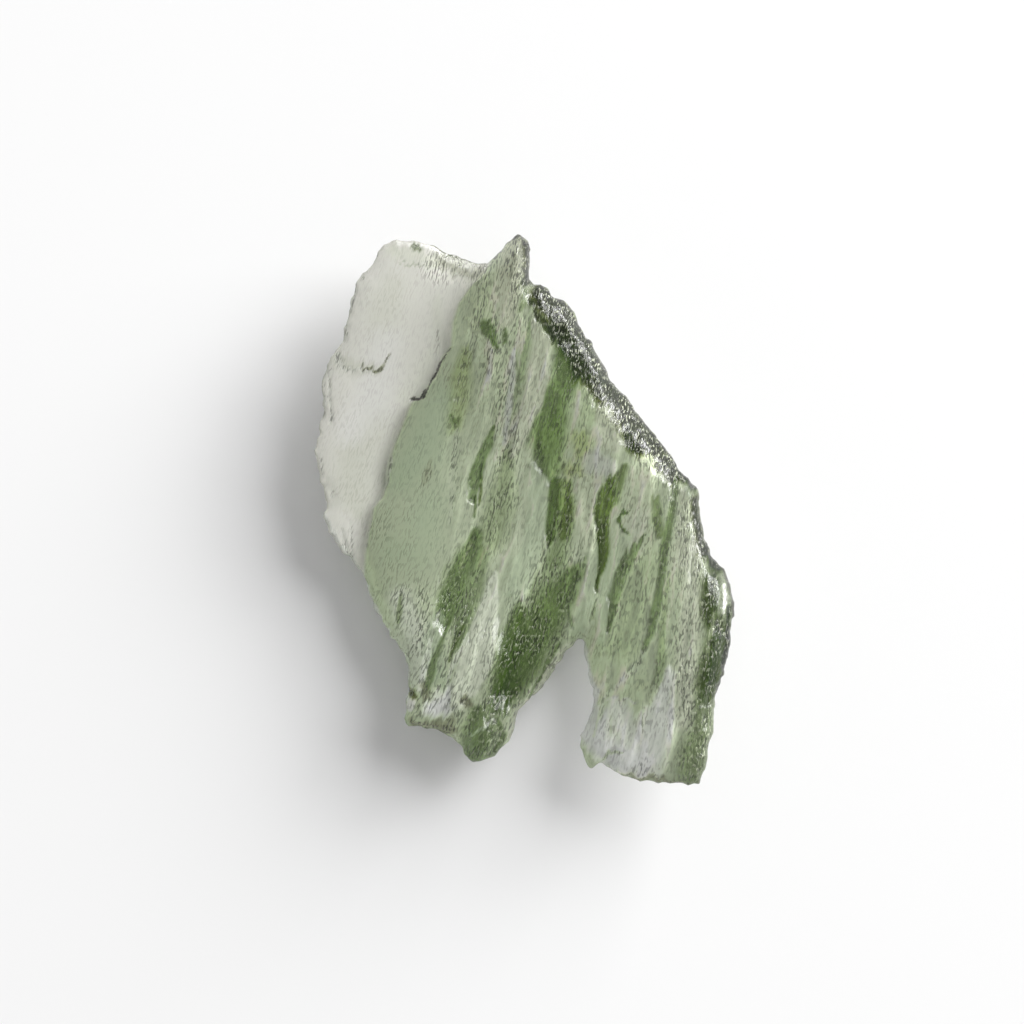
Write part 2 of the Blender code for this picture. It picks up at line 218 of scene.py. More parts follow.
# Places with a grain of their own, whatever their tone: line with half widths, and how grainy from 0 to 1
GRAINY_PLACES = [
    ([(-4.7, 13.4, 0.7), (-2.6, 13.1, 0.6)], 0.85),
    ([(-0.5, 14.2, 0.7), (-0.9, 11.2, 1.3)], 0.8),
    ([(-1.6, 9.5, 1.1), (-0.7, 3, 0.8)], 0.8),
    ([(2, 11.4, 1.1), (4.6, 7.4, 1.5), (8, 2.5, 1.0)], 1.0),
    ([(8.9, 0, 0.9), (9.4, -6, 1.1), (9.2, -13, 1.0)], 0.75),
    ([(-5.3, -5.5, 1.2), (-5, -10, 1.2)], 0.7),
    ([(1.8, -3, 1.2), (-0.6, -10, 1.4)], 0.75),
    ([(-2.4, -12.4, 1.3), (-3, -11, 1)], 0.7),
]

# The tones of the upper face: the screen colour seen from above, from 0 to 255, and how grainy it is, from
# 0 to 1. Most of the colours were fitted to a photograph's averages under these lamps. A tone is how the
# place looks, light and shade included, so the tones hold painted shade and painted highlights as well as
# colour
TONES = {
    "softsage": ((135, 146, 124), 0.12), "slopefoot": ((80, 90, 58), 1), "hollow": ((88, 103, 69), 0.6),
    "warmbright": ((183, 185, 174), 0.08), "deepest": ((52, 64, 32), 0.65), "deep": ((76, 91, 57), 0.65),
    "leaf": ((98, 113, 79), 0.45), "deepgreen": ((51, 67, 24), 0.75), "green": ((92, 105, 75), 0.7),
    "hipgreen": ((76, 89, 56), 0.85), "midgreen": ((106, 117, 90), 0.7), "mid": ((123, 130, 113), 0.9),
    "rough": ((59, 68, 33), 1), "olive": ((119, 130, 97), 0.6), "mossdark": ((128, 136, 114), 0.65),
    "moss": ((124, 134, 109), 0.5), "sageshade": ((127, 137, 117), 0.12), "sage": ((138, 146, 125), 0.22),
    "sagelight": ((136, 146, 124), 0.14), "legpale": ((147, 151, 136), 0.55),
    "hornpale": ((133, 137, 121), 0.6), "footgrey": ((147, 152, 139), 0.7),
    "bladepale": ((140, 145, 128), 0.3), "paleblade": ((156, 161, 146), 0.35),
    "pale": ((199, 207, 181), 0.35), "white": ((254, 255, 250), 0.32), "clear": ((255, 255, 255), 0.28),
    "warm": ((175, 177, 166), 0.1), "lipbright": ((191, 191, 187), 0.08),
    "bright": ((238, 238, 232), 0.5), "brown": ((102, 107, 87), 1), "greybrown": ((162, 164, 156), 0.8),
    "crack_and_rim_shade": ((52, 52, 46), 0.4), "lip": ((187, 187, 180), 0.08),
}

# Broad patches of colour: tone, line with half widths, height, strength, and how crisp its edge is
PATCHES = [
    ("horn", "hornpale",
     [(-0.33, 14.82, 0.66), (-0.55, 13.61, 0.88), (-0.88, 12.07, 0.77),
      (-1.04, 10.53, 0.55)], 0, 0.9, 0.3),
    ("horn's right side", "rough",
     [(0.11, 14.49, 0.22), (0.22, 13.61, 0.22), (0.17, 12.95, 0.22)], 0, 0.8, 0.3),
    ("dark oval", "mossdark",
     [(-2.09, 12.51, 0.33), (-2.42, 11.52, 0.82), (-2.2, 10.31, 0.66)], 0, 0.85, 0.5),
    ("olive patch", "olive",
     [(-3.19, 8.66, 0.28), (-3.46, 7.4, 0.6), (-3.63, 6.02, 0.6), (-3.85, 4.65, 0.44)], 0, 0.9, 0.3),
    ("grey middle", "sage", [(-2.09, 9.05, 0.49), (-2.2, 7.12, 0.71), (-2.31, 4.92, 0.44)], 0, 0.5, 0.2),
    ("sage glow", "sagelight",
     [(-4.95, -0.14, 0.77), (-5.72, -2.56, 0.77), (-7.26, -2.23, 0.66)], 0, 0.6, 0.1),
    ("sage shade", "softsage",
     [(-4.62, 6.3, 0.66), (-5.45, 3.38, 1.1), (-6.82, 1.73, 0.77)], 0, 0.7, 0.1),
    ("sage's low shade", "softsage", [(-5.06, 1.18, 0.77), (-5.83, -0.58, 0.71)], 0, 0.4, 0.1),
    ("olive round", "midgreen",
     [(-0.88, 3.16, 0.33), (-1.04, 1.9, 0.49), (-1.32, 0.25, 0.82), (-1.87, -1.57, 0.77)], 0, 0.9, 0.3),
    ("dark right of the upper blade", "deep",
     [(1.98, 9.87, 0.28), (2.31, 8.77, 0.6), (2.25, 7.01, 0.71), (1.54, 5.8, 0.94), (1.32, 4.26, 1.1),
      (1.43, 2.28, 0.71)], -0.3, 0.85, 0.5),
    ("dark band's foot", "deep",
     [(1.76, 4.92, 0.44), (1.38, 3.93, 0.71), (1.16, 3.16, 0.49)], 0, 0.6, 0.3),
    ("rough slope", "rough",
     [(0.88, 11.74, 0.55), (1.76, 10.86, 0.77), (2.86, 9.43, 0.71), (3.85, 7.56, 0.88),
      (5.06, 5.58, 0.99), (6.82, 3.27, 0.77), (8.25, 1.84, 0.44)], 0, 0.9, 0.5),
    ("rough slope's dark upper part", "deepgreen",
     [(1.76, 9.87, 0.44), (2.64, 8.99, 0.6), (3.63, 7.78, 0.55), (4.18, 7.12, 0.44)], 0, 0.85, 0.3),
    ("rough slope's foot", "slopefoot",
     [(3.08, 3.82, 0.55), (3.52, 2.28, 0.55), (2.53, 2.17, 0.44)], 0, 0.7, 0.3),
    ("green under the slope", "deepgreen", [(2.97, 9.05, 0.44), (3.08, 7.4, 0.44)], 0, 0.7, 0.3),
    ("green fold", "deepgreen", [(5.72, 4.48, 0.33), (6, 3.38, 0.33)], 0, 0.8, 0.4),
    ("moss right", "moss", [(6.38, -2.78, 0.88), (5.72, -4.98, 1.1), (5.17, -7.18, 1.1)], 0, 0.8, 0.3),
    ("mottled middle", "green",
     [(2.31, 0.52, 0.33), (2.31, -1.13, 0.44), (1.76, -2.78, 0.66)], 0, 0.85, 0.3),
    ("pale under the slope", "pale",
     [(6.6, 2.39, 0.55), (6.38, 1.07, 0.71), (6.16, 0.3, 0.66)], 0, 0.9, 0.3),
    ("moss below it", "legpale", [(6.38, -0.69, 0.77), (6.38, -1.95, 0.77)], 0, 0.8, 0.3),
    ("blade between", "sagelight",
     [(-0.22, -2.78, 0.55), (-0.6, -4.15, 0.66), (-0.88, -5.42, 0.49)], 0, 0.4, 0.3),
    ("dark low left", "deep",
     [(-0.22, -5.53, 0.33), (-0.66, -7.18, 0.66), (-1.04, -8.94, 0.66),
      (-1.43, -10.92, 0.55)], 0, 0.85, 0.3),
    ("dark low middle", "deep",
     [(2.81, -3.44, 0.44), (1.81, -4.81, 0.99), (0.94, -6.35, 1.21), (0.11, -8, 1.1),
      (-0.88, -10.04, 0.77)], -0.42, 0.85, 0.4),
    ("dark upper left of it", "green", [(1.54, -3.05, 0.39), (0.77, -4.43, 0.55)], 0, 0.6, 0.3),
    ("lower left hollow", "hollow",
     [(-2.64, -1.35, 0.28), (-2.97, -2.34, 0.55), (-3.63, -3.6, 0.71), (-4.07, -4.98, 0.71),
      (-4.4, -6.19, 0.49)], -0.38, 0.9, 0.5),
    ("hollow's mottled side", "green",
     [(-2.31, -2.56, 0.39), (-2.75, -4.43, 0.49), (-3.3, -6.08, 0.49),
      (-3.69, -7.62, 0.33)], -0.1, 0.8, 0.4),
    ("left foot grey", "footgrey",
     [(-6.82, -4.98, 0.66), (-6, -7.18, 0.88), (-5.72, -9.38, 0.55)], 0, 0.9, 0.2),
    ("left foot clear", "clear",
     [(-3.41, -9.93, 0.44), (-4.34, -10.64, 0.6), (-5.06, -10.92, 0.44)], 0, 0.95, 0.3),
    ("left foot pale", "sageshade",
     [(-4.73, -6.08, 0.33), (-5.06, -7.45, 0.49), (-4.84, -9.1, 0.66)], 0, 0.8, 0.3),
    ("rounded tip", "green",
     [(-2.53, -11.14, 0.44), (-2.42, -12.4, 0.94), (-2.53, -13.34, 0.88)], 0, 0.9, 0.5),
    ("right leg grey", "legpale",
     [(9.13, -1.95, 0.44), (9.13, -4.98, 0.55), (8.8, -8.28, 0.55), (8.58, -11.58, 0.44)], 0, 0.85, 0.3),
    ("right leg white", "white",
     [(7.87, -8.94, 0.28), (7.48, -10.48, 0.49), (7.21, -11.85, 0.77),
      (6.71, -13.5, 0.88)], 0.2, 0.95, 0.3),
    ("right foot clear", "clear",
     [(4.29, -11.14, 0.33), (3.96, -12.68, 0.6), (4.84, -13.5, 0.66),
      (5.94, -13.78, 0.66)], 0, 0.95, 0.4),
    ("right foot pale", "white", [(5.17, -11.03, 0.55), (5.72, -12.4, 0.66)], 0, 0.7, 0.3),
    ("corner olive", "deepgreen", [(8.58, 2.28, 0.39), (9.29, 1.35, 0.33)], 0, 0.9, 0.3),
    ("right edge grey", "rough",
     [(9.35, 0.52, 0.28), (9.57, -1.13, 0.33), (9.79, -2.34, 0.28)], 0, 0.8, 0.3),
    ("hip olive", "deepgreen", [(10.01, -2.12, 0.33), (10.56, -3.22, 0.39)], 0, 0.9, 0.4),
    ("hip", "hipgreen",
     [(10.12, -3.88, 0.44), (10.01, -5.53, 0.44), (10.56, -6.63, 0.55), (10.34, -8, 0.66),
      (10.01, -9.65, 0.66)], 0, 0.95, 0.4),
    ("right corner", "midgreen",
     [(9.79, -10.48, 0.44), (9.68, -11.85, 0.55), (9.13, -13.5, 0.71),
      (9.02, -14.66, 0.66)], 0, 0.95, 0.4),
    ("notch corner", "sage", [(4.07, -8.28, 0.44), (4.29, -9.65, 0.49)], 0, 0.6, 0.2),
    ("lip's upper shade", "warm",
     [(-7.15, 12.29, 0.66), (-7.65, 10.97, 0.88), (-8.03, 9.6, 0.55)], 0, 0.5, 0.1),
    ("etched top", "hornpale",
     [(-4.73, 13.83, 0.39), (-3.63, 13.39, 0.49), (-2.53, 12.95, 0.39)], 0, 0.7, 0.3),
    ("lip's warm foot", "warm",
     [(-8.36, 4.92, 0.77), (-9.29, 3, 1.1), (-9.46, 1.07, 1.1), (-9.13, -0.3, 0.44)], 0, 0.7, 0.1),
    ("lip's warm top", "warmbright",
     [(-7.26, 14.16, 0.33), (-6, 13.94, 0.44), (-5.06, 13.61, 0.28)], 0, 0.9, 0.2),
    ("lip's bright middle", "lipbright",
     [(-7.65, 9.05, 0.88), (-8.36, 6.02, 1.1), (-9.57, 4.37, 0.77)], 0, 0.8, 0.2),
    ("lip's warm edge", "warmbright",
     [(-4.79, 11.52, 0.28), (-4.84, 9.32, 0.28), (-5.83, 7.12, 0.44), (-6.54, 6.3, 0.44)], 0, 0.5, 0.1),
    ("chip's stain", "warm",
     [(-10.23, 8.22, 0.39), (-9.13, 7.78, 0.39), (-8.14, 7.78, 0.22)], 0, 0.8, 0.2),
]

# Pale blades and bright rims, the rims painted highlights: tone, line with half widths, height, strength,
# and how crisp its edge is
BLADES = [
    ("upper blade", "bladepale",
     [(0.55, 10.26, 0.17), (0.94, 9.05, 0.49), (0.77, 7.56, 0.66), (0.49, 6.13, 0.6), (0.06, 4.92, 0.49),
      (-0.33, 3.71, 0.33), (-0.66, 2.83, 0.11)], 0.28, 0.95, 0.8),
    ("blade beside it", "pale",
     [(0, 10.42, 0.11), (-0.06, 9.71, 0.28), (-0.22, 8.77, 0.17)], 0.08, 0.8, 0.6),
    ("small blade", "midgreen",
     [(0.06, 11.96, 0.11), (0, 11.41, 0.22), (-0.22, 10.86, 0.11)], 0.06, 0.8, 0.6),
    ("lines' pale band", "clear",
     [(-0.55, 8.66, 0.11), (-0.66, 7.12, 0.17), (-0.88, 5.47, 0.17), (-1.1, 3.82, 0.11)], 0.05, 0.6, 0.5),
    ("middle blade", "sagelight",
     [(0.49, 2.39, 0.17), (0.82, 1.62, 0.44), (0.77, -0.03, 0.55), (0.55, -1.68, 0.6),
      (0.11, -3.05, 0.66), (-0.44, -4.54, 0.55)], 0.25, 0.9, 0.8),
    ("right middle blade", "pale",
     [(3.3, 1.51, 0.39), (3.46, 0.25, 0.55), (3.52, -1.13, 0.55), (3.52, -2.23, 0.33)], 0.25, 0.8, 0.8),
    ("strip left of the middle groove", "sagelight",
     [(3.74, -2.5, 0.33), (3.74, -4.15, 0.39), (3.41, -5.64, 0.49), (2.97, -6.74, 0.44)], 0.06, 0.7, 0.5),
    ("light patch", "moss", [(3.3, 6.46, 0.22), (3.58, 5.8, 0.44), (3.35, 4.81, 0.49)], 0.15, 0.9, 0.7),
    ("light patch below", "bladepale",
     [(4.34, 5.47, 0.39), (4.62, 4.37, 0.66), (4.84, 3.38, 0.49)], 0.18, 0.9, 0.6),
    ("light fold", "white", [(3.96, 2.5, 0.66), (4.51, 2.28, 0.44)], 0.08, 0.7, 0.4),
    ("pale flank", "pale", [(6.71, 2.61, 0.33), (6.49, 1.51, 0.49), (6.38, 0.63, 0.49)], 0.1, 0.6, 0.3),
    ("white blade", "paleblade",
     [(-1.71, -3.77, 0.22), (-1.81, -4.98, 0.44), (-2.09, -6.19, 0.66), (-2.31, -7.29, 0.82),
      (-2.69, -8.39, 0.94), (-3.14, -9.49, 0.82), (-3.63, -10.59, 0.44)], 0.34, 0.97, 0.85),
    ("blade between grooves", "sagelight",
     [(5.72, -1.4, 0.28), (5.06, -2.5, 0.44), (4.62, -3.88, 0.39), (4.34, -5.53, 0.33),
      (4.18, -7.18, 0.28)], 0.14, 0.8, 0.6),
    ("rib right of the slanting groove", "moss",
     [(7.04, -0.58, 0.28), (6.82, -2.78, 0.49), (6.16, -4.98, 0.66),
      (5.72, -7.18, 0.55)], 0.12, 0.5, 0.4),
    ("pale edge rib", "pale",
     [(8.14, -1.95, 0.17), (7.92, -3.88, 0.22), (7.59, -6.08, 0.22)], 0.1, 0.7, 0.6),
    ("bright band", "bladepale",
     [(8.8, 0.96, 0.28), (8.8, -0.3, 0.33), (8.63, -1.68, 0.33), (8.36, -3.05, 0.28)], 0.18, 0.8, 0.6),
    # Painted highlights: the lip's rim and the notch's walls are pale lines for light that comes through
    # the glass's edge
    ("lip rim light", "white",
     [(-10.95, -0.3, 0.11), (-10.23, -1.95, 0.11), (-9.46, -2.78, 0.11), (-8.36, -5.25, 0.12),
      (-7.7, -6.52, 0.12), (-7.26, -7.23, 0.12), (-6.71, -8, 0.11), (-6.43, -9.1, 0.11),
      (-6.49, -10.48, 0.11)], 0, 0.9, 0.5),
    ("notch wall light", "bladepale",
     [(2.97, -7.34, 0.14), (2.15, -7.84, 0.22), (1.49, -8.83, 0.22), (0.94, -9.65, 0.19),
      (0.33, -10.37, 0.19), (-0.22, -11.03, 0.19), (-0.55, -11.85, 0.17),
      (-0.77, -12.57, 0.17)], 0, 0.95, 0.6),
    ("notch right light", "clear",
     [(3.25, -7.34, 0.11), (3.52, -8.39, 0.11), (3.63, -9.16, 0.11), (3.96, -10.2, 0.17),
      (3.74, -11.3, 0.17), (3.3, -12.57, 0.17)], 0, 0.8, 0.5),
    ("streak in the hollow", "olive",
     [(-2.97, -1.95, 0.06), (-3.3, -2.56, 0.11), (-3.52, -3.22, 0.06)], 0.04, 0.8, 0.6),
    ("line beside the hollow", "moss",
     [(-3.9, -2.78, 0.06), (-4.29, -3.49, 0.09), (-4.67, -4.32, 0.09),
      (-4.84, -5.31, 0.06)], 0.05, 0.9, 0.7),
    ("line in the round", "moss",
     [(-0.39, 1.51, 0.06), (-0.33, 0.52, 0.09), (-0.66, -0.58, 0.1), (-0.94, -1.57, 0.09),
      (-1.32, -2.5, 0.06)], 0.04, 0.8, 0.7),
    ("left foot streak", "white",
     [(-5.17, -7.18, 0.11), (-5.5, -8.55, 0.17), (-5.72, -9.93, 0.11)], 0.04, 0.7, 0.5),
    ("chip light", "bright", [(-6.16, -10.53, 0.22), (-6.33, -10.97, 0.28)], 0, 1, 0.7),
    ("hip light left", "deep",
     [(10.56, -3.88, 0.08), (10.45, -4.7, 0.11), (10.39, -5.64, 0.08)], 0.06, 0.6, 0.6),
    ("hip light right", "bright",
     [(10.89, -3.99, 0.08), (10.95, -4.76, 0.11), (10.84, -5.64, 0.09)], 0.06, 0.9, 0.6),
    ("white in the corner", "sageshade", [(8.96, 1.18, 0.11), (9.02, 0.69, 0.11)], 0.05, 0.7, 0.6),
]

# Grooves, cracks and thin lines, with dark rims that are painted shade: tone, line with half widths,
# height, strength, and how crisp its edge is
LINES = [
    ("leaf stem", "mossdark",
     [(-1.59, 6.13, 0.04), (-1.59, 5.2, 0.08), (-1.65, 4.48, 0.11)], -0.08, 0.9, 0.7),
    ("leaf", "leaf",
     [(-1.65, 4.7, 0.08), (-1.98, 3.71, 0.28), (-2.42, 2.72, 0.3), (-2.75, 1.62, 0.3),
      (-2.86, 0.74, 0.19), (-2.81, 0.36, 0.06)], -0.28, 0.97, 0.8),
    ("leaf's tail", "deep", [(-2.69, 0.63, 0.09), (-2.75, -0.36, 0.07)], -0.08, 0.8, 0.6),
    ("leaf's right line", "deepgreen",
     [(-2.37, 2.39, 0.04), (-2.37, 1.07, 0.08), (-2.48, 0.36, 0.04)], -0.05, 0.7, 0.6),
    ("arc", "mossdark",
     [(-3.3, 10.64, 0.06), (-3.02, 10.2, 0.09), (-2.58, 9.87, 0.11), (-2.09, 10.09, 0.11),
      (-1.43, 10.37, 0.08)], -0.1, 0.85, 0.6),
    ("triangle", "deep",
     [(-2.09, 10.15, 0.33), (-1.76, 9.54, 0.28), (-1.49, 8.99, 0.11)], -0.14, 0.8, 0.6),
    ("dark dot up", "deep", [(-1.04, 9.87, 0.11), (-1.1, 9.21, 0.14)], -0.06, 0.8, 0.5),
    ("first thin line", "mossdark",
     [(-0.82, 9.21, 0.05), (-0.94, 7.95, 0.07), (-1.16, 6.46, 0.07),
      (-1.43, 5.2, 0.04)], -0.06, 0.55, 0.6),
    ("second thin line", "midgreen",
     [(-0.44, 8.77, 0.07), (-0.33, 7.56, 0.09), (-0.44, 6.3, 0.1),
      (-0.66, 4.92, 0.07)], -0.08, 0.55, 0.5),
    ("edge of the upper blade", "green",
     [(0.33, 10.53, 0.08), (0.22, 9.54, 0.17), (0, 8.44, 0.17), (-0.17, 7.34, 0.14),
      (-0.28, 6.3, 0.08)], -0.14, 0.55, 0.6),
    ("line under the blade", "pale",
     [(-0.17, 6.9, 0.06), (-0.28, 5.91, 0.08), (-0.6, 4.48, 0.08), (-0.82, 3, 0.06)], -0.06, 0.55, 0.6),
    ("line under the round", "mossdark",
     [(-1.21, 3.55, 0.06), (-1.43, 2.17, 0.07), (-1.54, 0.52, 0.06)], -0.04, 0.5, 0.5),
    ("short groove", "deep",
     [(1.76, 1.4, 0.33), (1.71, 0.25, 0.36), (1.54, -1.02, 0.33),
      (1.38, -2.12, 0.11)], -0.32, 0.97, 0.75),
    ("short groove's side", "hipgreen",
     [(2.31, 1.4, 0.33), (2.42, 0.08, 0.44), (2.2, -1.46, 0.33)], -0.12, 0.9, 0.4),
    ("middle groove's head", "hipgreen",
     [(5.5, 2.28, 0.22), (5.17, 1.62, 0.39), (4.9, 0.52, 0.39)], -0.12, 0.8, 0.5),
    ("middle groove", "hipgreen",
     [(4.79, 1.62, 0.22), (4.51, 0.69, 0.44), (4.29, -0.25, 0.44), (4.34, -1.24, 0.36), (4.4, -2.23, 0.3),
      (4.29, -3, 0.22), (4.12, -3.77, 0.11), (4.01, -4.54, 0.06)], -0.34, 0.97, 0.75),
    ("slanting groove", "green",
     [(6.54, -1.57, 0.08), (6.11, -2.12, 0.22), (5.67, -2.89, 0.33), (5.22, -3.88, 0.33),
      (4.95, -4.87, 0.28), (4.79, -5.8, 0.17), (4.62, -6.74, 0.11)], -0.26, 0.92, 0.6),
    ("thin line left of it", "midgreen", [(3.96, -4.87, 0.07), (3.74, -6.08, 0.09)], -0.05, 0.8, 0.5),
    ("speckled line", "green",
     [(3.41, -2.78, 0.11), (2.86, -4.43, 0.14), (2.42, -5.64, 0.11),
      (2.64, -6.52, 0.08)], -0.08, 0.7, 0.5),
    ("long right groove", "green",
     [(8.36, 1.62, 0.11), (8.14, 0.52, 0.19), (7.92, -0.85, 0.25), (7.7, -2.34, 0.25),
      (7.48, -3.88, 0.22), (7.26, -5.31, 0.22), (6.93, -6.74, 0.22),
      (6.54, -7.73, 0.17)], -0.22, 0.9, 0.6),
    ("mottle left of it", "hipgreen",
     [(7.21, 0.52, 0.22), (7.26, -0.58, 0.28), (7.48, -1.4, 0.17)], -0.05, 0.7, 0.4),
    ("second right groove", "midgreen",
     [(7.92, -3.6, 0.08), (7.7, -4.98, 0.14), (7.54, -6.63, 0.19), (7.48, -8, 0.22),
      (7.32, -9.38, 0.22)], -0.12, 0.8, 0.5),
    ("step to the foot", "mid",
     [(6.66, -7.73, 0.11), (6.16, -8.5, 0.17), (5.61, -9.05, 0.19), (5.12, -9.6, 0.17),
      (4.67, -10.15, 0.14), (4.34, -10.81, 0.11), (4.18, -11.58, 0.08)], -0.15, 0.85, 0.5),
    ("mottle on the step", "mossdark",
     [(6.38, -9.6, 0.28), (7.04, -9.6, 0.28), (6.82, -10.48, 0.17)], -0.05, 0.7, 0.3),
    ("arc in the foot", "greybrown",
     [(4.51, -10.48, 0.04), (4.95, -10.42, 0.07), (5.5, -10.42, 0.07),
      (6.05, -10.64, 0.06)], -0.05, 0.8, 0.6),
    ("foot line left", "pale",
     [(4.29, -10.48, 0.04), (4.07, -11.58, 0.07), (3.85, -12.68, 0.06)], -0.06, 0.8, 0.6),
    ("foot line", "greybrown",
     [(4.67, -11.47, 0.05), (4.62, -12.46, 0.07), (4.57, -13.34, 0.06)], -0.06, 0.9, 0.6),
    ("foot line two", "greybrown",
     [(4.95, -11.69, 0.08), (4.95, -12.79, 0.08), (4.9, -13.34, 0.06)], -0.05, 0.6, 0.5),
    ("foot line three", "mid",
     [(6.54, -10.48, 0.08), (6.49, -11.69, 0.08), (6.38, -12.68, 0.06)], -0.05, 0.7, 0.5),
    ("foot line four", "greybrown", [(5.61, -12.79, 0.04), (5.5, -13.45, 0.04)], -0.03, 0.6, 0.5),
    ("crow foot", "mid",
     [(4.34, -13.83, 0.06), (4.67, -13.39, 0.1), (5.06, -13.34, 0.09),
      (5.39, -13.45, 0.04)], -0.06, 0.95, 0.6),
    ("leg line", "mid",
     [(9.13, -2.78, 0.06), (9.07, -4.98, 0.08), (8.91, -7.18, 0.08), (8.69, -9.38, 0.07),
      (8.58, -11.03, 0.06)], -0.06, 0.55, 0.5),
    ("leg line two", "mid",
     [(8.36, -4.43, 0.06), (8.09, -6.35, 0.08), (7.92, -8.28, 0.06)], -0.05, 0.6, 0.5),
    ("hip dark", "mossdark",
     [(10.34, -5.53, 0.08), (10.01, -7.18, 0.11), (9.9, -8.39, 0.06)], -0.06, 0.7, 0.5),
    ("hip rim dark", "deepgreen",
     [(11.17, -5.42, 0.14), (11.11, -7.18, 0.17), (10.89, -8.55, 0.17)], -0.05, 0.8, 0.5),
    ("green band", "deep",
     [(10.23, -8, 0.22), (10.06, -9.27, 0.33), (9.73, -10.48, 0.28)], -0.05, 0.6, 0.4),
    ("left foot line", "midgreen",
     [(-6.76, -4.87, 0.08), (-6.88, -5.64, 0.17), (-6.99, -6.3, 0.08)], -0.08, 0.85, 0.5),
    ("left foot line two", "mid",
     [(-4.57, -5.64, 0.06), (-5.17, -7.18, 0.11), (-5.5, -8.55, 0.11)], -0.07, 0.7, 0.5),
    ("left foot line three", "green",
     [(-4.12, -6.08, 0.08), (-4.62, -7.45, 0.17), (-5.06, -8.72, 0.22),
      (-5.39, -9.93, 0.22)], -0.12, 0.8, 0.5),
    ("thread", "footgrey",
     [(-3.08, -6.96, 0.04), (-3.52, -7.84, 0.1), (-3.96, -8.72, 0.11),
      (-4.29, -9.71, 0.06)], -0.1, 0.9, 0.6),
    ("left foot line four", "hipgreen",
     [(-3.41, -6.35, 0.08), (-3.79, -7.45, 0.14), (-4.12, -8.28, 0.11)], -0.08, 0.8, 0.5),
    ("left foot dark", "rough", [(-6.27, -9.93, 0.17), (-6.05, -10.42, 0.17)], -0.04, 0.8, 0.4),
    ("left foot mottle", "brown", [(-5.55, -9.71, 0.22), (-5.39, -10.37, 0.22)], -0.06, 0.75, 0.4),
    ("left foot's brown rim", "brown",
     [(-6.21, -11.69, 0.17), (-5.5, -11.91, 0.19), (-4.62, -11.96, 0.28),
      (-3.96, -12.24, 0.28)], 0, 0.85, 0.4),
    ("brown patch", "brown", [(-4.62, -11.69, 0.22), (-3.96, -11.69, 0.22)], 0, 0.6, 0.3),
    ("blotch", "brown", [(-3.3, -10.48, 0.22), (-3.02, -10.7, 0.22)], -0.04, 0.85, 0.5),
    ("tip's arc", "sageshade",
     [(-3.08, -12.18, 0.06), (-2.58, -12.35, 0.1), (-2.04, -12.07, 0.08),
      (-1.71, -11.69, 0.06)], 0.04, 0.7, 0.6),
    ("tip's dark side", "deep",
     [(-1.43, -11.69, 0.11), (-1.16, -12.51, 0.22), (-1.49, -13.23, 0.17)], -0.06, 0.6, 0.4),
    ("right foot's brown rim", "brown",
     [(5.39, -14.49, 0.11), (6.38, -14.71, 0.17), (7.48, -14.77, 0.19),
      (8.47, -14.93, 0.14)], 0, 0.7, 0.4),
    ("right foot's rim", "greybrown", [(5.94, -14.22, 0.22), (7.21, -14.33, 0.28)], 0, 0.6, 0.3),
    ("notch wall dark", "green",
     [(2.04, -7.18, 0.06), (1.59, -8, 0.1), (1.16, -8.83, 0.1), (0.77, -9.6, 0.1),
      (0.28, -10.37, 0.06)], -0.06, 0.9, 0.6),
    ("notch top dark", "mossdark",
     [(1.98, -7.01, 0.06), (2.64, -6.9, 0.09), (3.41, -6.96, 0.07)], -0.05, 0.8, 0.5),
    ("bubble's crescent", "deep",
     [(5.83, -0.03, 0.06), (5.45, -0.14, 0.1), (5.22, -0.58, 0.11), (5.39, -1.02, 0.1),
      (5.72, -1.18, 0.06)], -0.12, 0.95, 0.6),
    ("bubble's far rim", "mid",
     [(6.16, -0.25, 0.04), (6.27, -0.69, 0.06), (6.11, -1.07, 0.04)], -0.04, 0.7, 0.5),
    ("faint sage patch", "brown",
     [(-5.17, 2.61, 0.11), (-5.33, 1.95, 0.22), (-5.5, 1.29, 0.11)], 0, 0.5, 0.2),
    ("faint sage line", "mid",
     [(-3.69, 4.37, 0.08), (-3.9, 3, 0.14), (-3.96, 1.73, 0.17), (-3.96, 0.52, 0.11),
      (-4.07, -0.58, 0.06)], -0.04, 0.5, 0.3),
    ("olive patch's dark end", "deep",
     [(-4.01, 5.25, 0.11), (-3.79, 4.92, 0.22), (-3.74, 4.48, 0.11)], -0.04, 0.6, 0.4),
    ("horn's dark foot", "deepest",
     [(0.06, 13.17, 0.11), (0.22, 12.57, 0.22), (-0.11, 12.29, 0.17)], -0.08, 0.85, 0.5),
    ("horn's dark cap", "deepest",
     [(-0.88, 14.82, 0.08), (-0.33, 14.93, 0.14), (0.11, 14.55, 0.11)], 0, 0.75, 0.4),
    ("crest line", "deepest",
     [(0.33, 11.52, 0.08), (0.66, 10.75, 0.17), (1.16, 10.09, 0.17),
      (1.59, 9.21, 0.17)], -0.08, 0.7, 0.5),
    ("lip chip", "brown",
     [(-8.91, 7.89, 0.04), (-8.47, 7.73, 0.09), (-8.03, 7.78, 0.1), (-7.7, 8.06, 0.07),
      (-7.42, 8.44, 0.04)], -0.08, 0.9, 0.6),
    ("lip chip's left", "greybrown",
     [(-10.34, 8.44, 0.17), (-10.12, 8, 0.17), (-9.57, 7.73, 0.11),
      (-8.91, 7.73, 0.08)], -0.05, 0.75, 0.4),
    ("double rim inner", "greybrown",
     [(-10.67, 7.56, 0.09), (-10.67, 6.68, 0.06), (-10.78, 6.24, 0.06), (-10.62, 5.58, 0.07),
      (-10.56, 5.25, 0.07), (-10.72, 4.81, 0.06)], -0.07, 0.85, 0.6),
    ("double rim outer", "greybrown",
     [(-10.84, 8.11, 0.09), (-11.05, 7.23, 0.07), (-11.11, 6.46, 0.06), (-10.95, 5.58, 0.06),
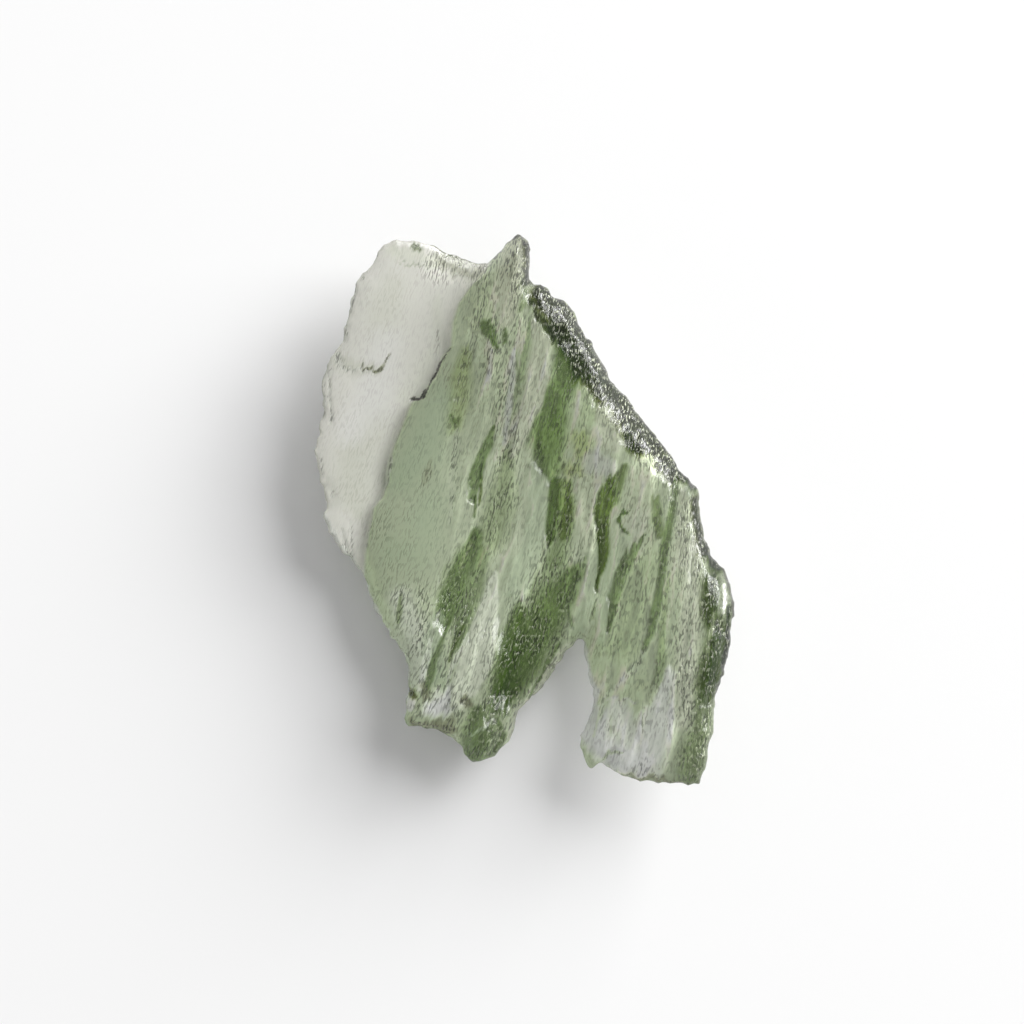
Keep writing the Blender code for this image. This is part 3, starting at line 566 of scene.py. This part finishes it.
      (-11.05, 5.03, 0.06)], -0.04, 0.8, 0.6),
    ("rim pits", "greybrown",
     [(-9.46, 11.52, 0.06), (-9.68, 10.53, 0.07), (-9.79, 9.76, 0.12),
      (-9.9, 9.32, 0.08)], -0.06, 0.85, 0.5),
    ("upper rim", "greybrown",
     [(-8.09, 13.83, 0.07), (-8.42, 13.28, 0.04), (-9.13, 12.51, 0.06),
      (-9.4, 11.63, 0.05)], -0.03, 0.8, 0.5),
    ("smudge", "hipgreen", [(-6.05, 14.55, 0.17), (-5.83, 14.33, 0.22)], 0, 0.7, 0.4),
    ("top band line", "mid",
     [(-6.82, 13.56, 0.04), (-6.05, 13.45, 0.06), (-5.17, 13.28, 0.04)], -0.02, 0.5, 0.4),
    ("wavy marks", "greybrown",
     [(-4.79, 9.87, 0.07), (-4.79, 9.05, 0.11), (-4.95, 8.33, 0.08)], -0.04, 0.5, 0.3),
    ("foot chips", "greybrown",
     [(-10.06, -1.13, 0.11), (-9.85, -2.01, 0.14), (-9.52, -2.56, 0.11)], -0.06, 0.6, 0.4),
    ("foot chips right", "greybrown",
     [(-9.68, -0.8, 0.06), (-9.46, -1.95, 0.08), (-9.46, -2.56, 0.06)], -0.04, 0.7, 0.5),
    ("left rim dark", "greybrown", [(-11.17, 2.61, 0.06), (-11.11, 1.73, 0.07)], -0.03, 0.6, 0.5),
    ("left rim nick", "greybrown", [(-10.56, 1.18, 0.06), (-10.67, 0.74, 0.06)], -0.03, 0.6, 0.5),
    ("step shadow top", "greybrown",
     [(-2.97, 12.24, 0.03), (-2.42, 12.62, 0.04), (-2.04, 13.28, 0.03)], 0, 0.5, 0.5),
    ("step crack", "crack_and_rim_shade",
     [(-4.07, 8.77, 0.04), (-4.57, 8.33, 0.06), (-4.9, 7.45, 0.06), (-5.17, 6.9, 0.06),
      (-5.45, 6.63, 0.07), (-5.72, 6.13, 0.07), (-6.21, 6.02, 0.06)], -0.1, 0.95, 0.7),
    ("step lower line", "greybrown",
     [(-7.32, 2.83, 0.04), (-7.42, 2.17, 0.07), (-7.48, 1.62, 0.05), (-7.87, 0.74, 0.04),
      (-8.25, 0.25, 0.06), (-8.47, -0.58, 0.04), (-8.69, -1.95, 0.04)], -0.04, 0.75, 0.6),
    # Painted shade: the upper right rim, the right rim and the horn's rim are dark lines for the dark edge
    # the glass shows there
    ("upper right rim", "crack_and_rim_shade",
     [(0.49, 12.4, 0.06), (1.16, 12.18, 0.07), (1.76, 11.69, 0.07), (2.37, 11.3, 0.07),
      (3.19, 9.98, 0.07), (4.01, 8.83, 0.08), (4.73, 7.4, 0.07), (5.72, 6.08, 0.06), (6.82, 4.54, 0.07),
      (7.92, 3.22, 0.07), (8.8, 1.95, 0.06), (9.57, 1.07, 0.07)], 0, 0.85, 0.6),
    ("right rim", "crack_and_rim_shade",
     [(9.79, -0.58, 0.06), (10.12, -2.12, 0.06), (10.89, -3.22, 0.07), (11.38, -4.43, 0.06),
      (11.44, -5.64, 0.06), (11.17, -7.73, 0.06), (10.45, -10.15, 0.04)], 0, 0.5, 0.5),
    ("horn rim", "crack_and_rim_shade",
     [(-1.65, 13.89, 0.04), (-1.04, 14.66, 0.06), (-0.44, 14.99, 0.08), (0.17, 14.66, 0.08),
      (0.33, 13.94, 0.06)], 0, 0.8, 0.6),
    ("chipped top rim", "deepgreen",
     [(-5.12, 14.55, 0.07), (-4.51, 14.27, 0.06), (-3.96, 13.94, 0.05), (-3.08, 13.78, 0.06),
      (-2.15, 13.61, 0.06)], -0.03, 0.7, 0.5),
]


class StoneSettings(bpy.types.PropertyGroup):
    """The sizes and the glass of the stone."""

    flute_depth: FloatProperty(
        name="Flute depth", description="Depth of the long etched flutes", default=0.45 * MM, unit="LENGTH"
    )
    pit_depth: FloatProperty(
        name="Pit depth", description="Depth of the pits on the rough slope", default=0.4 * MM,
        unit="LENGTH"
    )
    glass_colour: FloatVectorProperty(
        name="Glass colour", description="What a thick piece lets through", subtype="COLOR",
        default=(0.42, 0.62, 0.3)
    )
    glass_density: FloatProperty(name="Glass density", description="Absorption in each metre", default=110)
    roughness: FloatProperty(
        name="Roughness", description="Frosting of the smooth parts", default=0.12, subtype="FACTOR"
    )


class StageSettings(bpy.types.PropertyGroup):
    """The floor and the lights."""

    floor_colour: FloatVectorProperty(
        name="Floor colour", description="Colour of the plain floor", subtype="COLOR",
        default=(0.8, 0.8, 0.8)
    )
    key_power: FloatProperty(
        name="Key light", description="Power of the large light", default=KEY_POWER, unit="POWER"
    )
    low_power: FloatProperty(
        name="Low light", description="Power of the low light", default=LOW_POWER, unit="POWER"
    )
    fill_strength: FloatProperty(
        name="Fill light", description="Strength of the light all round", default=0.44
    )


def through(points, steps):
    """A smooth closed line through the points, with this many steps from each to the next."""
    here = np.array(points, dtype=float)
    before, after, beyond = (np.roll(here, shift, axis=0) for shift in (1, -1, -2))
    rows = []
    for step in range(steps):
        t = step / steps
        bend = (2 * before - 5 * here + 4 * after - beyond) * t**2
        twist = (3 * here - before - 3 * after + beyond) * t**3
        rows.append(here + 0.5 * ((after - before) * t + bend + twist))
    return np.stack(rows, axis=1).reshape(-1, 2)


def nearest(places, line):
    """Each place's distance to a line."""
    line = np.array(line, dtype=float)
    distance = np.full(len(places), np.inf)
    for start, run in zip(line, line[1:] - line[:-1]):
        along = np.clip((places - start) @ run / (run @ run), 0, 1)
        distance = np.minimum(distance, np.linalg.norm(places - start - along[:, None] * run, axis=1))
    return distance


def ease(value):
    """A smooth way from 0 to 1."""
    value = np.clip(value, 0, 1)
    return value * value * (3 - 2 * value)


def right_of(line, x, y):
    """How far right of a line that runs from top to bottom each place is."""
    down = np.array(line[::-1], dtype=float)
    return x - np.interp(y, down[:, 1], down[:, 0])


def chance(column, row, seed):
    """A repeatable number from 0 to 1 for each cell of a grid."""
    return np.mod(np.sin(column * ODD_COLUMN + row * ODD_ROW + seed * ODD_SEED) * ODD_SCALE, 1.0)


def dishes(across, along, seed):
    """Shallow dishes side by side, 0 in the middle of each and near 1 on the sharp crests between them."""
    column, row = np.floor(across), np.floor(along)
    nearest_middle = np.full(len(across), 2.0)
    for right in (-1, 0, 1):
        for up in (-1, 0, 1):
            a, b = column + right, row + up
            gap_across = a + chance(a, b, seed) - across
            gap_along = b + chance(a, b, seed + 1) - along
            nearest_middle = np.minimum(nearest_middle, gap_across**2 + gap_along**2)
    return np.minimum(nearest_middle, 1)


def ripple(across, along, seed):
    """Smooth waves without order, from -1 to 1, one cell of the grid long."""
    column, row = np.floor(across), np.floor(along)
    right, up = ease(across - column), ease(along - row)
    level = 0
    for a, share_across in ((0, 1 - right), (1, right)):
        for b, share_along in ((0, 1 - up), (1, up)):
            level = level + share_across * share_along * chance(column + a, row + b, seed)
    return 2 * level - 1


def flow_across(x, y):
    """Each place's number across the etched lines, which fan out down the stone."""
    return x - (FLOW_LEAN - FLOW_SPREAD * x) * y


def mask_of(x, y, points, crisp):
    """How much of each place a mark covers, from 0 to 1. The mark is a line with its own half widths."""
    cover = np.zeros(len(x))
    for (start_x, start_y, start_width), (end_x, end_y, end_width) in zip(points, points[1:]):
        reach = MARK_REACH * max(start_width, end_width) + FINEST_BLUR
        inside_x = (x > min(start_x, end_x) - reach) & (x < max(start_x, end_x) + reach)
        inside_y = (y > min(start_y, end_y) - reach) & (y < max(start_y, end_y) + reach)
        near = np.flatnonzero(inside_x & inside_y)
        run = np.array([end_x - start_x, end_y - start_y])
        gap = np.column_stack([x[near] - start_x, y[near] - start_y])
        along = np.clip(gap @ run / (run @ run), 0, 1)
        away = np.linalg.norm(gap - along[:, None] * run, axis=1)
        width = start_width + (end_width - start_width) * along
        blur = np.maximum(2 * (1 - crisp) * width, FINEST_BLUR)
        cover[near] = np.maximum(cover[near], 1 - ease((away - width) / blur + 0.5))
    return cover


def underside(x, y, edge):
    """The height of the lower face: a shallow bowl with dishes, lowest at the spot it rests on."""
    off_across = (x - REST_SPOT_CENTRE[0]) / UNDERSIDE_REACH[0]
    off_along = (y - REST_SPOT_CENTRE[1]) / UNDERSIDE_REACH[1]
    off_middle = off_across**2 + off_along**2
    dished = UNDER_DEPTH * dishes((x + UNDER_LEAN * y) / UNDER_ACROSS, y / UNDER_ALONG, seed=3)
    off_lip = LIP_DISHES + (1 - LIP_DISHES) * ease((x - LIP_SIDE_FROM) / LIP_SIDE_OVER)
    off_spot = ease((off_middle - SPOT_CLEAR_FROM) / SPOT_CLEAR_OVER) * ease(edge / UNDER_RIM) * off_lip
    return UNDERSIDE_RISE * off_middle - REST_SPOT_DEPTH + (UNDER_DEPTH - dished) * off_spot


def thickness(x, y, edge):
    """How thick the stone is under each place, before its grooves and ribs."""
    past_step = right_of(LIP_LINE, x, y)
    body = ease(past_step / LIP_STEP_WIDTH + 0.5)
    back = 1 - np.exp(-np.clip(past_step, 0, None) / BACK_REACH)
    thick = LIP_THICKNESS + body * LIP_STEP + BACK_RISE * back
    from_crest = nearest(np.column_stack([x, y]), CREST_LINE)
    thick += body * CREST_HEIGHT * np.exp(-((from_crest / CREST_REACH) ** 2))
    for _, (middle_x, middle_y), (reach_x, reach_y), height in MOUNDS:
        thick += height * np.exp(-(((x - middle_x) / reach_x) ** 2) - ((y - middle_y) / reach_y) ** 2)
    thick *= 1 - FOOT_THINNING * ease((y - FOOT_TOP) / (FOOT_END - FOOT_TOP))
    return thick * (1 - (1 - RIM_SHARE) * np.exp(-edge / RIM_REACH))


def relief(settings, x, y, edge):
    """The heights of the upper face's fine forms, with its threads and chips, and where each of them is."""
    body = ease(right_of(LIP_LINE, x, y) / BODY_REACH)
    past_crest = ease(right_of(CREST_LINE, x, y) / ROUGH_REACH + ROUGH_START)
    rough_slope = past_crest * ease((y - ROUGH_END) / ROUGH_FADE)
    fluted = body * (1 - rough_slope) * ease((x - FLUTES_FROM) / FLUTES_FADE)
    flow = flow_across(x, y)
    flutes = dishes(flow / FLUTE_ACROSS, y / FLUTE_ALONG, seed=5) - 0.5
    threads = dishes(flow / THREAD_ACROSS, y / THREAD_ALONG, seed=21) - 0.5
    pits = dishes(flow / PIT_ACROSS, y / PIT_ALONG, seed=9) - 0.5
    chips = dishes(flow / CHIP_ACROSS, y / CHIP_ALONG, seed=31) - 0.5
    height = fluted * (settings.flute_depth / MM * flutes + THREAD_DEPTH * threads)
    height += rough_slope * (settings.pit_depth / MM * pits + CHIP_DEPTH * chips)
    across, along = ragged(x, y)
    for marks, share in ((PATCHES, GROOVE_SHARE), (BLADES, BLADE_SHARE), (LINES, GROOVE_SHARE)):
        for _, _, points, rise, _, crisp in marks:
            if rise:
                height += share * rise * mask_of(across, along, points, crisp * SHAPE_CRISPNESS)
    return height * ease(edge / RELIEF_RIM), threads, chips, rough_slope, fluted


def ragged(x, y):
    """The places moved a little to and fro, so that a mark drawn on them gets a torn edge."""
    flow = flow_across(x, y)
    along = y + TEAR_ALONG * ripple(flow / TEAR_ACROSS_SIZE, y / TEAR_ALONG_SIZE, seed=41)
    across = x + TEAR_ACROSS * ripple(flow / TEAR_ACROSS_SIZE, y / TEAR_ALONG_SIZE, seed=43)
    return across, along


def light_of(colour):
    """A screen colour, from 0 to 255, as an amount of light."""
    share = np.array(colour, dtype=float) / 255
    return np.where(share <= 0.04045, share / 12.92, ((share + 0.055) / 1.055) ** 2.4)


def seen_colour(x, y):
    """How each place should look from above, as screen colours, and how grainy it is."""
    body = ease(right_of(LIP_LINE, x, y) / LIP_STEP_WIDTH + 0.5)[:, None]
    (lip, lip_grain), (sage, sage_grain) = TONES["lip"], TONES["sage"]
    colour = np.array(lip) * (1 - body) + np.array(sage) * body
    grain = lip_grain + (sage_grain - lip_grain) * body[:, 0]
    across, along = ragged(x, y)
    for marks in (PATCHES, BLADES, LINES):
        for _, tone, points, _, strength, crisp in marks:
            cover = strength * mask_of(across, along, points, crisp)
            own_colour, own_grain = TONES[tone]
            colour += (np.array(own_colour) - colour) * cover[:, None]
            grain += (own_grain - grain) * cover
    for points, amount in GRAINY_PLACES:
        grain += (amount - grain) * mask_of(across, along, points, GRAINY_CRISPNESS)
    return colour, grain


def paint_for(colour, gap, lit, grain):
    """The tint that makes the glass look like the colour, this far above the floor and in this much light.

    It takes the glass to scatter light in proportion to its tint, and to pass it by the tint's square root.
    So the tint is painted reverse shading: lighter where a face turns from the lamps or sits low over its
    own shaded floor, darker where a face turns to them.
    """
    own = np.array(SHEEN) + FLECK_LIGHT * (grain**2 * lit)[:, None]
    wanted = np.maximum(light_of(colour) - own, DARKEST * light_of(colour))
    dulled = (1 - FLECK_SHADE * grain)[:, None]
    scattered = np.array(SCATTERED) * lit[:, None] * dulled
    through = np.array(THROUGH) * (1 - np.exp(-np.clip(gap, 0, None) / GAP_REACH))[:, None] * dulled
    root = (np.sqrt(through**2 + 4 * scattered * wanted) - through) / (2 * scattered)
    return root**2 / np.maximum(root.max(axis=1, keepdims=True), 1) ** 2


def only(item):
    """Selects one object alone."""
    bpy.ops.object.select_all(action="DESELECT")
    item.select_set(True)
    bpy.context.view_layer.objects.active = item


def cut_slab():
    """The outline as a slab with rounded rims, remeshed into a grid that is finer on its upper face."""
    curve = bpy.data.curves.new("outline", "CURVE")
    curve.dimensions = "2D"
    curve.fill_mode = "BOTH"
    curve.extrude = (SLAB_THICKNESS / 2 - SLAB_ROUNDING) * MM
    curve.bevel_depth = SLAB_ROUNDING * MM
    curve.offset = -SLAB_ROUNDING * MM
    curve.bevel_resolution = 3
    corners = through(OUTLINE, OUTLINE_STEPS) * MM
    spline = curve.splines.new("POLY")
    spline.points.add(len(corners) - 1)
    for point, (x, y) in zip(spline.points, corners):
        point.co = (x, y, 0, 1)
    spline.use_cyclic_u = True
    slab = bpy.data.objects.new("glass_stone", curve)
    bpy.context.scene.collection.objects.link(slab)
    only(slab)
    bpy.ops.object.convert(target="MESH")

    bpy.ops.object.mode_set(mode="EDIT")
    bpy.ops.mesh.select_all(action="SELECT")
    bpy.ops.mesh.remove_doubles(threshold=WELD_GAP)
    bpy.ops.object.mode_set(mode="OBJECT")
    remesh = slab.modifiers.new("even grid", "REMESH")
    remesh.mode = "VOXEL"
    remesh.voxel_size = GRID * MM
    bpy.ops.object.modifier_apply(modifier=remesh.name)

    bpy.ops.object.mode_set(mode="EDIT")
    bpy.ops.mesh.select_all(action="DESELECT")
    bpy.ops.object.mode_set(mode="OBJECT")
    upwards = np.empty(len(slab.data.polygons) * 3)
    slab.data.polygons.foreach_get("normal", upwards)
    slab.data.polygons.foreach_set("select", upwards[2::3] > UPWARD)
    bpy.ops.object.mode_set(mode="EDIT")
    bpy.ops.mesh.subdivide(number_cuts=1)
    bpy.ops.object.mode_set(mode="OBJECT")
    return slab


def shape_stone(settings, slab):
    """Moves the slab's two faces, and the rim between them, to the stone's heights, and tints them."""
    mesh = slab.data
    places = np.empty(len(mesh.vertices) * 3)
    mesh.vertices.foreach_get("co", places)
    places = places.reshape(-1, 3) / MM
    rim = through(OUTLINE, OUTLINE_STEPS)
    edge = nearest(places[:, :2], np.vstack([rim, rim[:1]]))
    nibble = NIBBLE_DEPTH * np.exp(-edge / NIBBLE_REACH)
    for axis in (0, 1):
        jagged = ripple(places[:, 0] / NIBBLE_SIZE, places[:, 1] / NIBBLE_SIZE, seed=51 + axis)
        places[:, axis] += nibble * jagged
    x, y = places[:, 0].copy(), places[:, 1].copy()
    low = underside(x, y, edge)
    raised, threads, chips, rough_slope, fluted = relief(settings, x, y, edge)
    plain = low + thickness(x, y, edge)
    high = plain + raised
    share = np.clip(places[:, 2] / SLAB_THICKNESS + 0.5, 0, 1)
    places[:, 2] = low + (plain - low) * share
    mesh.vertices.foreach_set("co", (places * MM).ravel())
    mesh.update()
    # The light on each point, over the broad form and with the relief: the tint is painted against it as
    # reverse shading, fully for the broad form and by LEDGES_EVENED for the relief
    lit = light_on(mesh) ** (1 - LEDGES_EVENED)
    places[:, 2] = low + (high - low) * share
    mesh.vertices.foreach_set("co", (places * MM).ravel())
    mesh.update()
    lit *= light_on(mesh) ** LEDGES_EVENED

    colour, grain = seen_colour(x, y)
    # Painted light and shade on the relief: the crests of threads and chips are painted lighter and their
    # hollows darker
    relief_shade = 1 + RELIEF_SHADE * (fluted * (threads + RELIEF_SHADE_MIDDLE) + rough_slope * (chips + RELIEF_SHADE_MIDDLE))
    tint = paint_for(colour, low, lit, grain) * relief_shade[:, None]
    upper = ease((share - MARKS_FADE_FROM) / MARKS_FADE_OVER)[:, None]
    under = np.sqrt(paint_for(np.array(TONES["lip"][0]) + 0 * colour, low, 1 + 0 * lit, 0 * grain))
    tint = np.clip(under + (tint - under) * upper, 0, 1)
    store(mesh, "tint", "FLOAT_COLOR", "color", np.column_stack([tint, np.ones(len(tint))]))
    store(mesh, "grain", "FLOAT", "value", grain)
    flow = np.column_stack([flow_across(x, y), y, FLOW_DOWN * (1 - share)])
    store(mesh, "flow", "FLOAT_VECTOR", "vector", flow)


def light_on(mesh):
    """How far each corner point of the mesh faces the light, as a share of what a level face gets."""
    facing = np.empty(len(mesh.vertices) * 3)
    mesh.vertices.foreach_get("normal", facing)
    return np.clip(facing.reshape(-1, 3) @ np.array(LIGHT_WAY) / LIGHT_WAY[2], LEAST_LIT, MOST_LIT)


def store(mesh, name, kind, field, values):
    """Writes one value for each corner point of the mesh as an attribute."""
    layer = mesh.attributes.new(name, kind, "POINT")
    layer.data.foreach_set(field, np.ascontiguousarray(values, dtype=np.float32).ravel())


def flatten_rest_spot(slab):
    """Cuts the lowest part of the underside off flat, and closes it with one flat face."""
    only(slab)
    bpy.ops.object.mode_set(mode="EDIT")
    bpy.ops.mesh.select_all(action="SELECT")
    bpy.ops.mesh.bisect(
        plane_co=(0, 0, 0), plane_no=(0, 0, 1), use_fill=True, clear_inner=True, threshold=CUT_GAP
    )
    bpy.ops.object.mode_set(mode="OBJECT")
    bpy.ops.object.shade_smooth()


def node(material, kind, operation=None, **inputs):
    """Adds a node to a material and sets its sockets. A socket that is given is linked.

    A socket without a name of its own is given by its number, as i0 or i1.
    """
    tree = material.node_tree
    added = tree.nodes.new("ShaderNode" + kind)
    if operation:
        added.operation = operation
    for name, value in inputs.items():
        numbered = name[0] == "i" and name[1:].isdigit()
        socket = added.inputs[int(name[1:]) if numbered else name.replace("_", " ")]
        if isinstance(value, bpy.types.NodeSocket):
            tree.links.new(value, socket)
        else:
            socket.default_value = value
    return added


def attribute(material, name):
    """Adds a node that reads one of the mesh's attributes."""
    reader = node(material, "Attribute")
    reader.attribute_name = name
    return reader


def spread(material, value, first, full, least=0.0, most=1.0):
    """A value's span from first to full, spread over the span from least to most."""
    spans = {"From_Min": first, "From_Max": full, "To_Min": least, "To_Max": most}
    return node(material, "MapRange", Value=value, **spans).outputs[0]


def cloudy(material, flow, size, **detail):
    """Noise from 0 to 1 that is drawn out along the etched lines."""
    stretched = node(material, "VectorMath", "MULTIPLY", i0=flow.outputs["Vector"], i1=size)
    return node(material, "TexNoise", Vector=stretched.outputs[0], Scale=1.0, **detail).outputs[0]


def flecks(material, flow, grain, size, first, full):
    """Short flecks along the etched lines, as strong as the place is grainy."""
    cloud = cloudy(material, flow, size, Detail=FLECK_DETAIL, Roughness=FLECK_BREAKUP)
    return node(material, "Math", "MULTIPLY", i0=spread(material, cloud, first, full), i1=grain).outputs[0]


def glass_material(settings):
    """Half-clear green glass that takes its tint from the marks, with etched flecks all over; the white
    flecks are painted glints as well as bumps.
    """
    material = bpy.data.materials.new("green glass")
    material.use_nodes = True
    tree = material.node_tree
    shader = tree.nodes["Principled BSDF"]
    tint = attribute(material, "tint")
    grain = attribute(material, "grain")
    flow = attribute(material, "flow")

    cloud = cloudy(material, flow, PATCH_SIZE, Detail=PATCH_DETAIL)
    patch = spread(material, cloud, PATCH_FROM, PATCH_FULL, PATCH_LEAST, PATCH_MOST)
    patchy = node(material, "Math", "MULTIPLY", i0=patch, i1=grain.outputs["Fac"])
    sparser = node(material, "Math", "MULTIPLY", i0=patchy.outputs[0], i1=grain.outputs["Fac"])
    white = flecks(material, flow, sparser.outputs[0], WHITE_SIZE, WHITE_FROM, WHITE_FULL)
    dark = flecks(material, flow, patchy.outputs[0], DARK_SIZE, DARK_FROM, DARK_FULL)
    swing = node(material, "Math", "SUBTRACT", i0=white, i1=dark)

    fall = node(material, "Math", "MULTIPLY", i0=dark, i1=-DARK_FLECKS)
    gain = node(material, "Math", "POWER", i0=2.0, i1=fall.outputs[0])
    dimmed = node(material, "VectorMath", "SCALE", i0=tint.outputs["Color"], Scale=gain.outputs[0])
    # Painted glints: the white flecks lighten the colour towards a near white, for light caught on the
    # etched surface
    glint_share = node(material, "Math", "MULTIPLY", i0=white, i1=GLINT_FLECKS)
    glint_share.use_clamp = True
    tinted = node(material, "Mix", Factor=glint_share.outputs[0])
    tinted.data_type = "RGBA"
    tree.links.new(dimmed.outputs[0], tinted.inputs[6])
    tinted.inputs[7].default_value = (*GLINT_COLOUR, 1)
    tree.links.new(tinted.outputs[2], shader.inputs["Base Color"])

    frost = spread(material, swing.outputs[0], -1.0, 1.0, settings.roughness * 2, settings.roughness)
    tree.links.new(frost, shader.inputs["Roughness"])
    bump = node(material, "Bump", Height=swing.outputs[0], Distance=BUMP_HEIGHT * MM, Strength=1.0)
    tree.links.new(bump.outputs["Normal"], shader.inputs["Normal"])
    shader.inputs["IOR"].default_value = GLASS_IOR
    shader.inputs["Transmission Weight"].default_value = CLEARNESS
    inside = node(material, "VolumeAbsorption", Density=settings.glass_density)
    inside.inputs["Color"].default_value = (*settings.glass_colour, 1)
    tree.links.new(inside.outputs["Volume"], tree.nodes["Material Output"].inputs["Volume"])
    return material


class MOLDAVITE_OT_stone(bpy.types.Operator):
    """Models the stone and gives it its glass"""

    bl_idname = "moldavite.stone"
    bl_label = "Glass stone"

    def execute(self, context):
        settings = context.scene.moldavite_stone
        slab = cut_slab()
        shape_stone(settings, slab)
        flatten_rest_spot(slab)
        slab.data.materials.clear()
        slab.data.materials.append(glass_material(settings))
        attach(slab, "root")
        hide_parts(NODE)
        return {"FINISHED"}


def add_lamp(name, direction, distance, size, power):
    """A round soft light that faces the stone from this direction."""
    way = Vector(direction).normalized()
    facing = way.to_track_quat("Z", "Y").to_euler()
    bpy.ops.object.light_add(type="AREA", location=way * distance, rotation=facing)
    lamp = bpy.context.object
    lamp.name = name
    lamp.data.shape = "DISK"
    lamp.data.size = size
    lamp.data.energy = power
    lamp.visible_camera = False


class MOLDAVITE_OT_stage(bpy.types.Operator):
    """Adds the floor, the lights and the camera"""

    bl_idname = "moldavite.stage"
    bl_label = "Studio stage"

    def execute(self, context):
        settings = context.scene.moldavite_stage
        bpy.ops.mesh.primitive_plane_add(size=FLOOR_SIZE, location=(0, 0, -FLOOR_GAP))
        floor = context.object
        floor.name = "floor"
        bpy.ops.object.transform_apply(location=True)
        paper = bpy.data.materials.new("pale paper")
        paper.use_nodes = True
        surface = paper.node_tree.nodes["Principled BSDF"]
        surface.inputs["Base Color"].default_value = (*settings.floor_colour, 1)
        surface.inputs["Roughness"].default_value = FLOOR_ROUGHNESS
        floor.data.materials.append(paper)

        world = bpy.data.worlds.new("studio")
        world.use_nodes = True
        around = world.node_tree.nodes["Background"]
        around.inputs["Color"].default_value = (1, 1, 1, 1)
        around.inputs["Strength"].default_value = settings.fill_strength
        context.scene.world = world
        add_lamp("key_light", KEY_WAY, KEY_DISTANCE, KEY_SIZE, settings.key_power)
        add_lamp("low_light", LOW_WAY, LOW_DISTANCE, LOW_SIZE, settings.low_power)

        bpy.ops.object.camera_add(location=CAMERA_PLACE, rotation=(0, 0, 0))
        camera = context.object
        camera.data.lens = CAMERA_LENS
        camera.data.sensor_width = CAMERA_SENSOR
        camera.data.clip_start = CAMERA_NEAR
        context.scene.camera = camera
        context.scene.view_settings.view_transform = "Standard"
        return {"FINISHED"}


class MOLDAVITE_PT_panel(bpy.types.Panel):
    """Lists the sizes and colours, and the operators"""

    bl_label = "Moldavite"
    bl_idname = "MOLDAVITE_PT_panel"
    bl_space_type = "VIEW_3D"
    bl_region_type = "UI"
    bl_category = "Moldavite"

    def draw(self, context):
        for group, settings_class in GROUPS.items():
            box = self.layout.box()
            settings = getattr(context.scene, group)
            for name in settings_class.__annotations__:
                box.prop(settings, name)
        for operator in OPERATORS:
            self.layout.operator(operator.bl_idname)


GROUPS = {"moldavite_stone": StoneSettings, "moldavite_stage": StageSettings}
OPERATORS = (MOLDAVITE_OT_stone, MOLDAVITE_OT_stage)
CLASSES = (*GROUPS.values(), *OPERATORS, MOLDAVITE_PT_panel)


def register():
    """Adds the classes and the settings to Blender."""
    for item in CLASSES:
        bpy.utils.register_class(item)
    for name, settings_class in GROUPS.items():
        setattr(bpy.types.Scene, name, PointerProperty(type=settings_class))


def unregister():
    """Takes the settings and the classes out again."""
    for name in GROUPS:
        delattr(bpy.types.Scene, name)
    for item in reversed(CLASSES):
        bpy.utils.unregister_class(item)


def main():
    """Builds the stone and its stage."""
    register()
    bpy.ops.moldavite.stone()
    bpy.ops.moldavite.stage()


if __name__ == "__main__":
    main()
